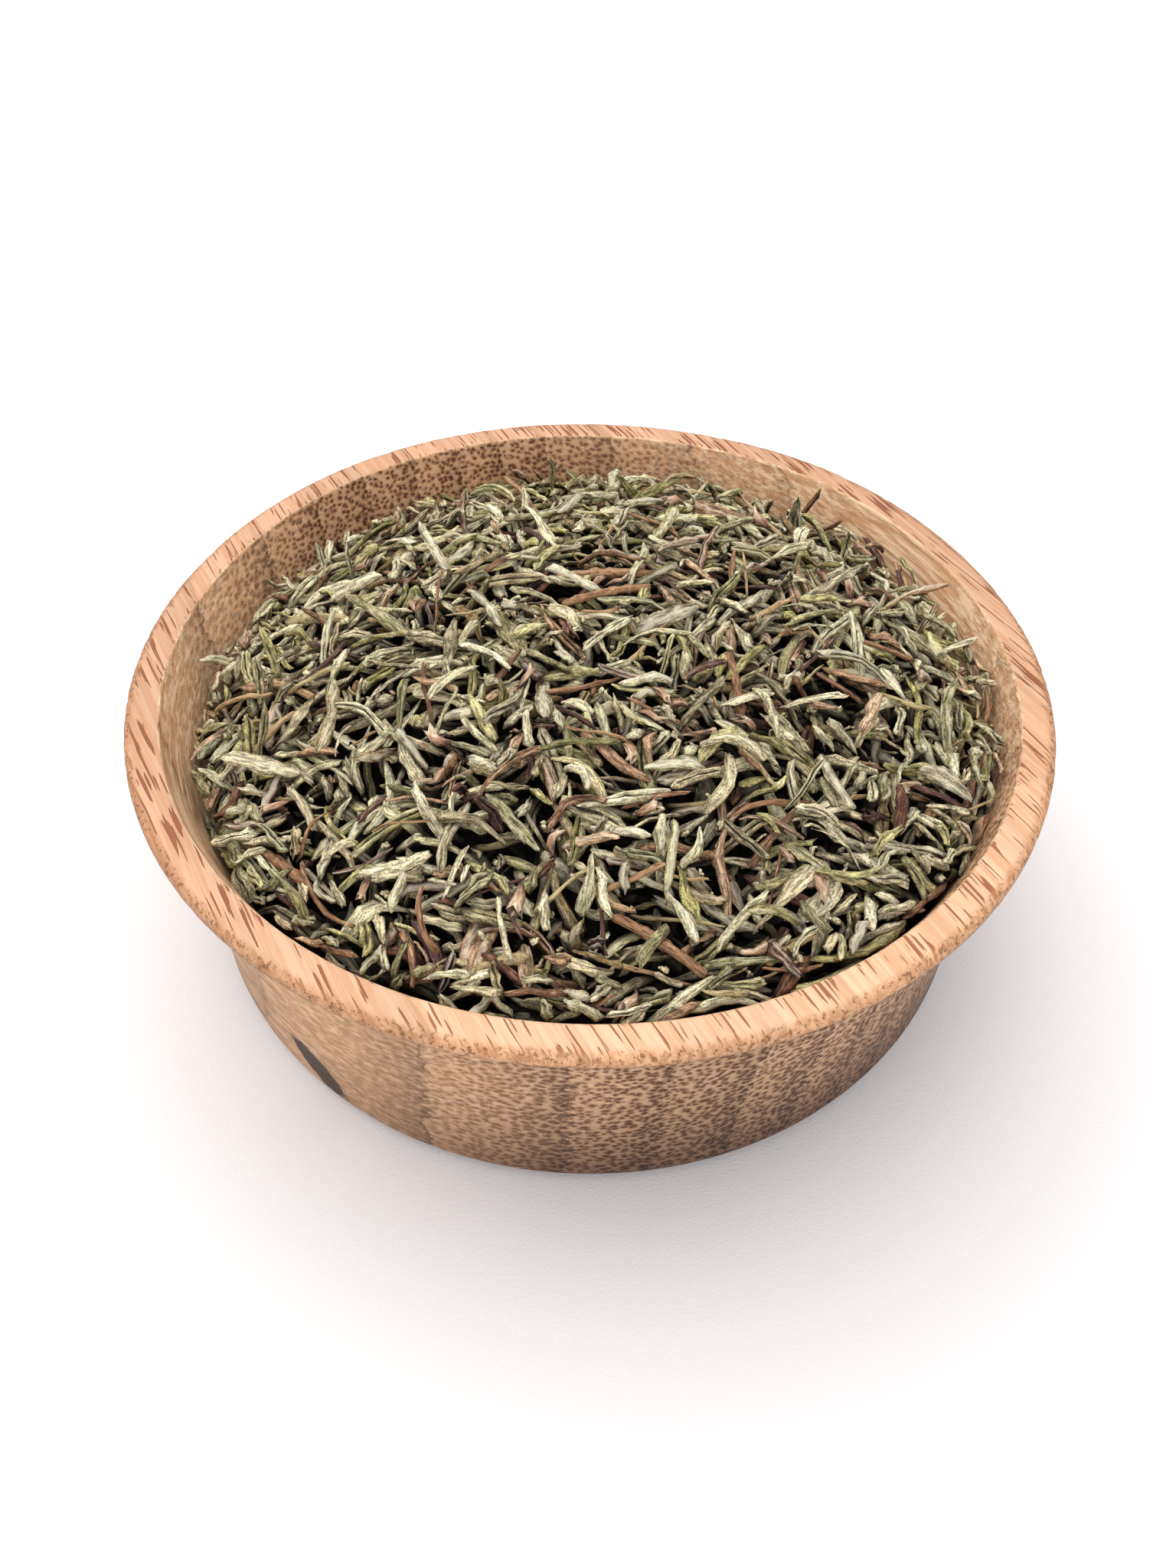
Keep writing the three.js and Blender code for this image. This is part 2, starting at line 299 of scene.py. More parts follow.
def bowl_profile():
    """(radius, height) rows from the pole of the base, up the outside, over the lip and down
    the inside to the pole of the floor. Returns the rows and the row numbers of the lip."""
    foot = (WALL_FOOT, BASE_CORNER)
    cove_bottom = (WALL_TOP, BOWL_HEIGHT - LIP_THICKNESS - COVE_DEPTH)
    share = np.linspace(0, 1, WALL_ROWS + 1)[1:]
    wall = np.stack([WALL_FOOT + (WALL_TOP - WALL_FOOT) * share ** WALL_FLARE_POWER,
                     BASE_CORNER + (cove_bottom[1] - BASE_CORNER) * share], axis=1)
    underside = (LIP_RADIUS, BOWL_HEIGHT - LIP_THICKNESS)
    lip_edge = (LIP_RADIUS, BOWL_HEIGHT - LIP_ROUNDING)
    crease = (LIP_CREASE, BOWL_HEIGHT)
    inner_top = (LIP_INNER + SANDED_EDGE, BOWL_HEIGHT)
    inner_side = (LIP_INNER, BOWL_HEIGHT - SANDED_EDGE)
    depth = 1 - (1 - np.linspace(0, 1, INSIDE_ROWS + 1)[1:]) ** INSIDE_CROWDING
    z = inner_side[1] - depth * (inner_side[1] - FLOOR_THICKNESS)
    inside = np.stack([wall_radius(z), z], axis=1)
    outside = np.concatenate([
        straight((0, 0), (WALL_FOOT - BASE_CORNER, 0), 10),
        quarter_round((WALL_FOOT - BASE_CORNER, 0), foot, 8, False),
        wall,
        quarter_round(cove_bottom, underside, 9, True)])
    lip = np.concatenate([
        straight(underside, lip_edge, 3),
        quarter_round(lip_edge, crease, 8, True),
        straight(crease, inner_top, 10),
        quarter_round(inner_top, inner_side, 5, False)])
    rows = np.concatenate([outside, lip, inside[:-1]])
    return rows, len(outside), len(outside) + len(lip)


profile, lip_start, lip_end = bowl_profile()
print(f"bowl profile has {len(profile)} rows, the lip is rows {lip_start} to {lip_end}")

# %% [markdown]
# ## How bamboo is built up
# Bamboo is a bundle of long dark fibres in pale, soft tissue. The block is made of strips 5 to
# 10 mm wide, glued side by side with all fibres running one way, so one turned surface shows two
# faces: dark ovals where the lathe cut across the fibres, and long streaks where it cut along
# them. Each vertex stores how square the cut is there, and how far across the strips it lies,
# so one material can show both faces and still follow the real block.

# %% Bowl surface
FIBRE = np.array([0.497, -0.868, 0.0])  # the way the fibres run
ACROSS = np.array([0.868, 0.497, 0.0])  # the way the strips are stacked
STRIP_SEAMS = np.array([-46, -39, -30, -20, -13.2, -6.4, 0, 5.4, 10.5, 16, 23.5, 31, 38, 46]) * MM
LIP_ROUGHNESS = 0.1 * MM  # depth of the torn fibres along the lip's outer edge
ROUGH_BAND_ROWS = 5  # the band's middle and its half width, in rows from the lip's lower edge
LIP_WAVE = 0.06 * MM  # how far the sanded lip is from level
WAVES = 24  # sine waves in one noise


def smooth_noise(angle, row, seed, turns, rows_per_wave):
    """Sum of random sine waves round the bowl, sin(turns * angle + drift * row + phase), divided
    by the root of their number."""
    random = np.random.default_rng(seed)
    total = np.zeros_like(angle + row)
    for _ in range(WAVES):
        wave = random.integers(turns[0], turns[1])
        phase = random.uniform(0, 2 * pi)
        drift = random.uniform(-1, 1) * 2 * pi / rows_per_wave
        total += np.sin(wave * angle + drift * row + phase)
    return total / WAVES ** 0.5


def bowl_surface():
    """Every profile row turned round Z: x = r cos t, y = r sin t. The band of the lip's outer
    rounding is roughened by noise, as the chisel tears short fibres there."""
    angle = np.arange(TURN_STEPS) * 2 * pi / TURN_STEPS
    row = np.arange(len(profile))[:, None]
    radius = profile[:, :1] + np.zeros(TURN_STEPS)
    height = profile[:, 1:] + np.zeros(TURN_STEPS)
    band = np.exp(-((row - lip_start - ROUGH_BAND_ROWS) / ROUGH_BAND_ROWS) ** 2)
    tear = smooth_noise(angle, row, seed=3, turns=(40, 160), rows_per_wave=6)
    radius = radius - band * LIP_ROUGHNESS * np.clip(tear, 0, 2.5)
    height = height - band * 0.5 * LIP_ROUGHNESS * np.clip(-tear, 0, 2.5)
    wave = smooth_noise(angle, row * 0, seed=8, turns=(2, 9), rows_per_wave=60)
    height = height + LIP_WAVE * wave * (row >= lip_start) * (row < lip_end)
    return np.stack([radius * np.cos(angle), radius * np.sin(angle), height], axis=-1)


def surface_normals(points):
    """Unit cross product of the steps round and along the grid."""
    round_step = np.roll(points, -1, axis=1) - np.roll(points, 1, axis=1)
    row_step = np.gradient(points, axis=0)
    normal = np.cross(round_step, row_step)
    return normal / np.linalg.norm(normal, axis=-1, keepdims=True)


bowl_points = bowl_surface()
bowl_normals = surface_normals(bowl_points)
rows = len(profile)
poles = np.array([[0, 0, 0], [0, 0, FLOOR_THICKNESS]])
print(f"bowl grid {rows} x {TURN_STEPS}, {2 * rows * TURN_STEPS} triangles")

# %% [markdown]
# ## Bamboo finishes
# The bowl has one body but three looks. The wall is oiled end grain, mid brown, and is darker
# towards the base, partly from grime and partly from painted shade. The lip is sanded back to fresh
# pale bamboo, with rust strokes where fibres run out, and a rough golden band on its outer
# rounding. The inside is oiled like the wall. Each is a material of its own on its own rows, built
# from the same block coordinates.

# %% Block coordinates
BLOCK_TURN = np.arctan2(ACROSS[1], ACROSS[0])  # from +X round to the way across the strips
JAGS_PER_MM = (0.9, 0.1, 1.3)  # the steps of a glue line are 1.1 mm wide and 10 mm long
JAG_DEPTH = 0.3  # share of a strip's width


def block_place(tree):
    """Object coordinates in millimetres, turned so that X runs across the strips and Y along
    the fibres."""
    place = node(tree, "TexCoord")["Object"]
    return node(tree, "Mapping", None, {
        "Vector": place, "Rotation": (0, 0, -BLOCK_TURN), "Scale": (1 / MM,) * 3})["Vector"]


def wander(tree, place, reach, rate):
    """Moves the place by up to reach mm, by noise with rate changes for each mm across the
    fibres and half as many along them."""
    slow = node(tree, "VectorMath", TIMES, (place, (rate, rate / 2, rate)))["Vector"]
    drift = node(tree, "TexNoise", None, {"Vector": slow, "Scale": 1, "Detail": 3})["Color"]
    centred = node(tree, "VectorMath", LESS, (drift, (0.5, 0.5, 0.5)))["Vector"]
    return node(tree, "VectorMath", TIMES_PLUS, (centred, (2 * reach,) * 3, place))["Vector"]


def strips(tree, place):
    """The phase across a strip, 0 at its pale edge and 1 at its dark edge, with a jagged step
    between strips, and one random number for each strip."""
    along = node(tree, "Attribute", {"attribute_name": "strip"})["Fac"]
    jag = drawn_out_noise(tree, place, JAGS_PER_MM, 2)
    moved = node(tree, "Math", TIMES_PLUS, (jag, JAG_DEPTH, along))["Value"]
    phase = node(tree, "Math", {"operation": "FRACT"}, (moved,))["Value"]
    number = node(tree, "Math", {"operation": "FLOOR"}, (moved,))["Value"]
    tint = node(tree, "TexWhiteNoise", {"noise_dimensions": "1D"}, {"W": number})["Value"]
    return phase, tint


print(f"strips are stacked at {np.degrees(BLOCK_TURN):.0f} degrees from +X")

# %% [markdown]
# ### What the cuts look like
# Cut across, a fibre bundle is a dark oval in paler tissue, and the bundles stand closer on the
# bark side of a strip. Cut along, the same bundles are fine streaks. Voronoi cells give the
# ovals, each round its own point, and noise drawn out along the fibres gives the streaks.

# %% Fibre ends, grain and strips
BUNDLE_SPACING = (0.72, 0.6, 1)  # mm across the strips and up the wall
RAGS_PER_MM = 2.2  # ragged spots 0.45 mm wide along a bundle's edge
GRAIN_PER_MM = (1.5, 0.045, 1.5)  # streaks 0.7 mm wide and 22 mm long
CROWDED = 0.14  # how much the bundles swell towards a strip's dark edge
BUNDLE_EDGE = 0.42  # where a bundle ends in the sum of distance and raggedness


def fibre_ends(tree, place, phase):
    """0 or less inside a fibre bundle and about 0.7 between bundles: the distance to a bundle's
    middle plus noise, less a share of the phase across the strip."""
    bent = wander(tree, place, reach=0.45, rate=0.5)
    axes = node(tree, "SeparateXYZ", None, (bent,))
    flat = node(tree, "CombineXYZ", None, (axes["X"], axes["Z"]))["Vector"]
    grid = node(tree, "VectorMath", {"operation": "DIVIDE"}, (flat, BUNDLE_SPACING))["Vector"]
    ragged = node(tree, "TexNoise", None, {
        "Vector": place, "Scale": RAGS_PER_MM, "Detail": 4, "Roughness": 0.6})["Fac"]
    away = node(tree, "TexVoronoi", {"voronoi_dimensions": "2D"}, {
        "Vector": grid, "Scale": 1, "Randomness": 0.9})["Distance"]
    uneven = node(tree, "Math", {"operation": "ADD"}, (ragged, away))["Value"]
    crowded = node(tree, "Math", TIMES_PLUS, (phase, -CROWDED, uneven))["Value"]
    return node(tree, "Math", LESS, (crowded, BUNDLE_EDGE))["Value"]


def fine_grain(tree, place):
    """Streaks from 0.3 to 1 mm wide that run along the fibres, from 0 to 1."""
    streaks = drawn_out_noise(tree, place, GRAIN_PER_MM, 5, 0.7)
    return node(tree, "MapRange", SMOOTH, (streaks, 0.4, 0.6))["Result"]


def strip_level(tree, phase, tint, dark_edge, glue_line):
    """Brightness over a strip: its own level, darker towards its far edge, with a thin darker
    glue line where it meets the next strip."""
    own = node(tree, "MapRange", None, (tint, 0, 1, 0.95, 1.06))["Result"]
    edge = node(tree, "MapRange", SMOOTH, (phase, 0.5, 1, 1.03, dark_edge))["Result"]
    glue = node(tree, "MapRange", SMOOTH, (phase, 0.955, 0.975, 1, glue_line))["Result"]
    both = node(tree, "Math", TIMES, (own, edge))["Value"]
    return node(tree, "Math", TIMES, (both, glue))["Value"]


print(f"a fibre bundle every {BUNDLE_SPACING[0]} mm across and {BUNDLE_SPACING[1]} mm in height")

# %% [markdown]
# ### Oiled end grain
# On the wall the ovals are fibre bundles cut across, dark because their open ends drank the oil.
# Where the wall turns along the fibres they fade into long soft grain. Under the lip and near the
# table the wall is darkened, partly by dirt and oil and partly by painted shade, and less so on its
# left side. One flaw in a strip shows as a dark lens on the left.

# %% Wall and inside materials
STAIN_CENTRE = (-25.2, -32.0, 5.1)  # mm
STAIN_WAY = (0.62, -0.42, -0.66)  # the flaw's long direction in the wall
STAIN_HALF = (4.0, 1.9, 1.9)  # half sizes along that direction and beside it, in mm
STAIN_RAGS_PER_MM = 0.9
STAIN_RAGGED = 1.2  # how much the ragged spots move its edge
STAIN_EDGE = (1.9, 1.3)  # the sum of both where it starts to show and where it is full
LEAST_END_GRAIN = 0.22  # fibre ends that still show where the cut runs along the fibres
BAMBOO_IOR = 1.5  # close to that of cellulose


def stain_share(tree):
    """1 inside (along / half length) ** 2 + (beside / half width) ** 2 < 1, with ragged edges.
    The second Mapping node works backwards: it turns and scales the lens to a ball."""
    place = node(tree, "TexCoord")["Object"]
    away = node(tree, "Mapping", None, {
        "Vector": place, "Location": [-c for c in STAIN_CENTRE], "Scale": (1 / MM,) * 3})["Vector"]
    turn = Vector(STAIN_WAY).to_track_quat("X", "Z").to_euler()
    ball = node(tree, "Mapping", {"vector_type": "TEXTURE"}, {
        "Vector": away, "Rotation": turn, "Scale": STAIN_HALF})["Vector"]
    square = node(tree, "VectorMath", {"operation": "DOT_PRODUCT"}, (ball, ball))["Value"]
    ragged = node(tree, "TexNoise", None, {
        "Vector": away, "Scale": STAIN_RAGS_PER_MM, "Detail": 3})["Fac"]
    rough = node(tree, "Math", TIMES_PLUS, (ragged, STAIN_RAGGED, square))["Value"]
    return node(tree, "MapRange", SMOOTH, (rough, *STAIN_EDGE))["Result"]


def finish_bamboo(tree, shader, colour, relief, relief_mm, roughness):
    """Joins colour, roughness and relief to the shader. Cut bamboo is dense and hardly shines."""
    bump = node(tree, "Bump", None, {
        "Height": relief, "Strength": 1, "Distance": relief_mm * MM})["Normal"]
    fill(tree, shader, {"Base Color": colour, "Roughness": roughness, "IOR": BAMBOO_IOR,
                        "Specular IOR Level": 0.2, "Normal": bump})


def oiled_bamboo(name, cut_across, long_pale, long_dark, grime, stained):
    """cut_across is the colour scale from the middle of a fibre bundle out to the tissue, and
    long_pale and long_dark colour the cut along the fibres. The mesh's end_grain attribute says how
    much of each shows, and a further attribute glazes both darker, with dirt and with painted
    shade."""
    material, tree, shader = new_material(name)
    place = block_place(tree)
    phase, tint = strips(tree, place)
    tissue = fibre_ends(tree, place, phase)
    grain = fine_grain(tree, place)
    across = node(tree, "ValToRGB", None, (tissue,), cut_across)["Color"]
    along = node(tree, "Mix", LAYER, {0: grain, 6: long_dark, 7: long_pale})[2]
    square = node(tree, "Attribute", {"attribute_name": "end_grain"})["Fac"]
    share = node(tree, "MapRange", None, (square, 0, 1, LEAST_END_GRAIN, 1))["Result"]
    colour = node(tree, "Mix", LAYER, {0: share, 6: along, 7: across})[2]
    level = strip_level(tree, phase, tint, dark_edge=0.86, glue_line=0.66)
    colour = node(tree, "Mix", GLAZE, {0: 1, 6: colour, 7: level})[2]
    # dirt and painted shade: the wall is glazed darker under the lip and near the table
    soil_and_shade = node(tree, "Attribute", {"attribute_name": "grime"})["Fac"]
    colour = node(tree, "Mix", GLAZE, {0: soil_and_shade, 6: colour, 7: grime})[2]
    if stained:
        colour = node(tree, "Mix", LAYER, {0: stain_share(tree), 6: colour, 7: "#443126"})[2]
    relief = node(tree, "Math", TIMES_PLUS, (tissue, 0.8, grain))["Value"]
    finish_bamboo(tree, shader, colour, relief, relief_mm=0.06, roughness=0.5)
    return material


# Turned and rubbed with oil: it takes away the chalky look of dry bamboo, so the eye sees warm
# tissue with nearly brown fibre ends. The wall has darkened with use and the inside less so.
WALL_CUT = ((0.12, "#5a3a26"), (0.25, "#7a553a"), (0.4, "#9c785c"), (0.66, "#c6a17f"))
INSIDE_CUT = ((0.12, "#603e2b"), (0.26, "#865f45"), (0.4, "#ac8361"), (0.66, "#cba17b"))
# The fifth colour is the glaze for dirt and painted shade.
wall_finish = oiled_bamboo("oiled_turned_bamboo_wall", WALL_CUT, "#e8bd94", "#bd9069",
                           "#66493a", True)
inside_finish = oiled_bamboo("oiled_turned_bamboo_inside", INSIDE_CUT, "#f8d6b0", "#d29f75",
                             "#8a684c", False)
print("wall and inside:", wall_finish.name, inside_finish.name)

# %% [markdown]
# ### The sanded lip
# The lip was sanded after oiling, so it is the palest bamboo on the bowl. Fibres that run out at
# its flat top leave rust-brown strokes 0.3 mm wide and several millimetres long, crowded in
# places. Its outer rounding is rougher, golden, and pitted where short fibres broke away.

# %% Lip material
STROKES_PER_MM = (3.3, 0.15, 1.7)  # 0.3 mm wide and about 7 mm long
CLUSTERS_PER_MM = 0.17  # crowded places are 6 mm apart
PITS_PER_MM = 2.2  # pits 0.45 mm wide


def sanded_lip():
    """Strokes are drawn-out noise above a level, each with a paler halo. Pits are small noise
    above a level, and only on the band that the mesh's lip_edge attribute marks."""
    material, tree, shader = new_material("sanded_bamboo_lip")
    block = block_place(tree)
    phase, tint = strips(tree, block)
    place = wander(tree, block, reach=0.2, rate=0.2)
    strokes = drawn_out_noise(tree, place, STROKES_PER_MM, 1)
    clusters = node(tree, "TexNoise", None, {
        "Vector": place, "Scale": CLUSTERS_PER_MM, "Detail": 1})["Fac"]
    crowded = node(tree, "Math", TIMES_PLUS, (clusters, 0.5, strokes))["Value"]
    stroke = node(tree, "MapRange", SMOOTH, (crowded, 0.86, 0.895, 0, 0.9))["Result"]
    halo = node(tree, "MapRange", SMOOTH, (crowded, 0.79, 0.88, 0, 0.35))["Result"]
    grain = fine_grain(tree, place)
    colour = node(tree, "Mix", LAYER, {0: grain, 6: "#cda17e", 7: "#dcb595"})[2]
    colour = node(tree, "Mix", LAYER, {0: halo, 6: colour, 7: "#c98f68"})[2]
    colour = node(tree, "Mix", LAYER, {0: stroke, 6: colour, 7: "#8e5333"})[2]
    band = node(tree, "Attribute", {"attribute_name": "lip_edge"})["Fac"]
    tanned = node(tree, "Math", TIMES, (band, 0.8))["Value"]
    golden = node(tree, "Mix", LAYER, {0: grain, 6: "#b1805a", 7: "#cd9f78"})[2]
    colour = node(tree, "Mix", LAYER, {0: tanned, 6: colour, 7: golden})[2]
    pits = node(tree, "TexNoise", None, {
        "Vector": place, "Scale": PITS_PER_MM, "Detail": 4, "Roughness": 0.65})["Fac"]
    pitted = node(tree, "MapRange", SMOOTH, (pits, 0.57, 0.63, 0, 0.75))["Result"]
    torn = node(tree, "Math", TIMES, (pitted, band))["Value"]
    colour = node(tree, "Mix", LAYER, {0: torn, 6: colour, 7: "#7d5433"})[2]
    # painted shade: the lip is glazed darker at the back and sides
    painted_lip_shade = node(tree, "Attribute", {"attribute_name": "grime"})["Fac"]
    colour = node(tree, "Mix", GLAZE, {0: painted_lip_shade, 6: colour, 7: "#e7dfdb"})[2]
    level = strip_level(tree, phase, tint, dark_edge=0.94, glue_line=0.95)
    colour = node(tree, "Mix", GLAZE, {0: 1, 6: colour, 7: level})[2]
    hollow = node(tree, "Math", {"operation": "MAXIMUM"}, (torn, stroke))["Value"]
    relief = node(tree, "Math", LESS, (pits, hollow))["Value"]
    finish_bamboo(tree, shader, colour, relief, relief_mm=0.1, roughness=0.55)
    return material


# Sanded and left dry: the oily top layer is gone, so the eye sees pale, dull wood with the rust
# of cut fibres.
lip_finish = sanded_lip()
print("lip:", lip_finish.name)

# %% [markdown]
# ### Where each finish shows
# Every profile row knows whether it is wall, lip or inside, so it picks its material by its number.
# What changes gradually, such as the darkening under the lip, which is partly dirt and partly
# painted shade, and the torn band on its edge, is stored as an attribute that the materials read.

# %% The bowl
LIP_INSIDE_ROWS = 4  # the lip's last rows turn down and are oiled like the inside
BAND_ROWS = 9.5  # the torn band ends this many rows up the lip, and fades over three
STRIP_BEND = 3.2 * MM  # how far the strips on one side bend over the height of the wall
BEND_FADE = 8 * MM  # width over which the bend sets in
COVE_HEIGHT = 27.3 * MM  # where the darkening under the lip, dirt and painted shade, is darkest
COVE_HALF = 0.9 * MM
GRIME_AND_SHADE_TO = 19 * MM  # the darkening near the table, grime and painted shade, ends at this height
POLE_STRIP = 5.7  # place on the strips at the middle of base and floor

row = np.arange(rows)[:, None] + np.zeros(TURN_STEPS)
is_wall = row < lip_start
is_lip = (row >= lip_start) & (row < lip_end - LIP_INSIDE_ROWS)
angle_across = bowl_points @ ACROSS
height = bowl_points[..., 2]
under_lip = np.exp(-((height - COVE_HEIGHT) / COVE_HALF) ** 2)
shade_by_side = np.clip(1 + bowl_normals[..., 0], 0.25, 1)  # painted shade: the left side, lit from the floor, keeps less of the darkening near the table
near_table = np.clip(1 - height / GRIME_AND_SHADE_TO, 0, 1) ** 1.3 * shade_by_side
painted_lip_shade = np.clip(1.1 + bowl_points @ [-0.4, 1, 0] / LIP_RADIUS, 0, 1)  # painted shade on the lip, on all but the front
# dirt and painted shade on the wall, painted shade on the lip
soil_and_shade = is_wall * np.clip(0.55 * under_lip + 0.95 * near_table, 0, 1) + is_lip * painted_lip_shade
bend = STRIP_BEND * np.clip(angle_across / BEND_FADE + 1.6, 0, 1) * (height / BOWL_HEIGHT) ** 2
strip = np.interp(angle_across - bend * is_wall, STRIP_SEAMS, np.arange(len(STRIP_SEAMS)))
end_grain = np.clip((np.abs(bowl_normals @ FIBRE) - 0.46) / 0.44, 0, 1)
edge_band = np.clip((lip_start + BAND_ROWS - row) / 3, 0, 1)

bowl = make_mesh("turned_bowl", np.concatenate([bowl_points.reshape(-1, 3), poles]),
                 tube_faces(1, rows, TURN_STEPS), wall_finish, lip_finish, inside_finish)
finish_of = np.where(is_wall, 0, np.where(is_lip, 1, 2))[:-1].ravel()
base_and_floor = np.repeat([0, 2], TURN_STEPS)
bowl.data.polygons.foreach_set(
    "material_index", np.append(finish_of, base_and_floor).astype(np.int32))
finish_piece(bowl, "bowl", "bamboo",
             strip=np.append(strip, [POLE_STRIP, POLE_STRIP]),
             end_grain=np.append(end_grain, [0, 0]),
             grime=np.append(soil_and_shade, [1, 0]),
             lip_edge=np.append(edge_band, [0, 0]))

# %% [markdown]
# ## The mound of thyme
# Dried thyme settles as it is poured: each leaf falls, comes to rest on whatever is under it,
# and the next ones lie on top. A particle system could scatter leaves, but they would hover or
# cut through each other. Here each leaf is dropped onto a height map of what lies there already,
# balances on its highest supports, and then raises the map. The heap is worked out in
# millimetres and follows the same low dome as the CAD node.

# %% Mound surface
GAP = 0.35  # between the thyme and the wall
HEAP_CROWN = 3.8  # top of the mound above the lip
HEAP_EDGE = 5.2  # mean depth below the lip at which the mound meets the wall
HEAP_LEAN = 1.8  # how much deeper it sits on its low side
HEAP_LOW_SIDE = radians(145)
LIP_TOP = BOWL_HEIGHT / MM
PATCH_SIZE = (7, 16)  # shortest and longest wave
PATCH_WAVES = 16


def heap_radius(z):
    """The inside wall with a gap to it: wall radius at z - gap, less the gap."""
    return np.maximum(0, wall_radius((z - GAP) * MM) / MM - GAP)


HEAP_RIM = heap_radius(LIP_TOP - HEAP_EDGE)


def mound_height(x, y):
    """Lip top + crown * (1 - share) - edge depth * share, where share = (radius / rim) ** 2."""
    share = (x * x + y * y) / HEAP_RIM ** 2
    edge = HEAP_EDGE + HEAP_LEAN * np.cos(np.arctan2(y, x) - HEAP_LOW_SIDE)
    return LIP_TOP + HEAP_CROWN * (1 - share) - edge * share


def patches(x, y, seed):
    """Sum of sine waves 7 to 16 mm long that run over the mound in random directions."""
    random = np.random.default_rng(seed)
    total = 0 * x
    for _ in range(PATCH_WAVES):
        way, phase = random.uniform(0, 2 * pi, 2)
        rate = 2 * pi / random.uniform(*PATCH_SIZE)
        total = total + np.sin(rate * (x * np.cos(way) + y * np.sin(way)) + phase)
    return total / PATCH_WAVES ** 0.5


print(f"mound {mound_height(0, 0):.1f} mm high, {2 * HEAP_RIM:.1f} mm wide")

# %% [markdown]
# ### One leaf
# A dried thyme leaf is 4 to 8 mm long and about 1 mm wide. Its margins roll under as it dries,
# so it ends as a crooked little roll with a dark crease between two swellings. The shape is an
# eight-sided section along a bent line. Three of its corners lie close together at the top, and
# the middle one is pulled down into the crease. All leaves are computed at once, as one array
# with a row for each leaf.

# %% Leaf sizes
# share of all leaves, then lowest and highest length, width, thickness, bluntness and taper
LEAF_KINDS = (
    (0.5, (3.4, 8.2), (0.8, 1.35), (0.6, 1.05), (0.6, 2.2), (0.0, 0.5)),  # rolled
    (0.34, (1.4, 4.0), (0.7, 1.25), (0.5, 0.95), (1.2, 4.0), (0.0, 0.5)),  # broken
    (0.09, (2.2, 6.5), (0.35, 0.7), (0.3, 0.55), (0.6, 2.6), (0.0, 0.5)),  # thin
    (0.07, (3.8, 7.6), (1.4, 2.2), (0.35, 0.6), (0.2, 0.9), (0.0, 0.6)),  # broad
)
SHORT = ((1.0, (1.6, 4.4), (0.7, 1.2), (0.5, 0.95), (0.8, 2.4), (0.0, 0.5)),)
CRUMB = ((1.0, (0.5, 1.4), (0.35, 0.9), (0.25, 0.5), (0.4, 2.0), (0.0, 0.6)),)


def draw_leaves(count, random, kinds=LEAF_KINDS):
    """Sizes and bends of count leaves of mixed kinds. One in five is bent twice as much."""
    kind = random.choice(len(kinds), count, p=[values[0] for values in kinds])
    length, width, thick, blunt, taper = (
        random.uniform(*np.array([values[column] for values in kinds])[kind].T)
        for column in (1, 2, 3, 4, 5))
    bent = length * random.choice([1, 2], count, p=(0.8, 0.2))
    return {
        "length": length, "width": width, "thick": thick, "blunt": blunt, "taper": taper,
        "arch": random.normal(0.035, 0.05, count) * bent,
        "sway": random.normal(0, 0.055, count) * bent,
        "hook": random.normal(0, 0.04, count) * bent,
        "swerve": random.normal(0, 0.045, count) * bent,
        "twist": random.normal(0, 0.5, count),
        "groove": random.uniform(0.1, 0.95, count),
        "flip": random.random(count) < 0.4,
    }


def width_share(along, leaf):
    """Share of the full width at a place from -1 at the stalk to 1 at the tip:
    (1 - |along| ** power) ** 0.55 * (1 - taper * (1 - along) / 2), power = 1.8 + 3.5 * blunt."""
    rounded = (1 - np.abs(along) ** (1.8 + 3.5 * leaf["blunt"])) ** 0.55
    return rounded * (1 - leaf["taper"] * (1 - along) / 2)


def leaf_middle(leaf, along):
    """Height of the centre line: arch * (1 - along ** 2) + hook * along ** 3."""
    return leaf["arch"] * (1 - along ** 2) + leaf["hook"] * along ** 3


def leaf_across(leaf, along):
    """The same to the side: sway * (1 - along ** 2) + swerve * along ** 3."""
    return leaf["sway"] * (1 - along ** 2) + leaf["swerve"] * along ** 3


print(f"{len(LEAF_KINDS)} kinds of leaf, the longest {LEAF_KINDS[0][1][1]} mm")

# %% [markdown]
# ### A leaf's surface
# The section is carried along the bent line and twists on its way. Small random changes of each
# point crumple it, as drying does, and its ends are torn the more, the blunter they are.

# %% Leaf shapes
CORNERS = np.radians([0, 24, 62, 115, 180, 245, 298, 336])  # from the crease round the section
LIFT = np.array([1, 1.1, 1, 1, 0.75, 1, 1, 1.1])  # height of each corner over an ellipse
LEAF_SIDES = len(CORNERS)
RING_ALONG = np.array([-0.95, -0.74, -0.4, 0.0, 0.4, 0.74, 0.95])
LEAF_RINGS = len(RING_ALONG)
CRUMPLE = 0.12  # share of the width by which a point is out of place
RING_CHANGE = 0.14  # share of the width by which a ring is wider or narrower
UNEVEN = 0.05  # mm that each ring is out of line


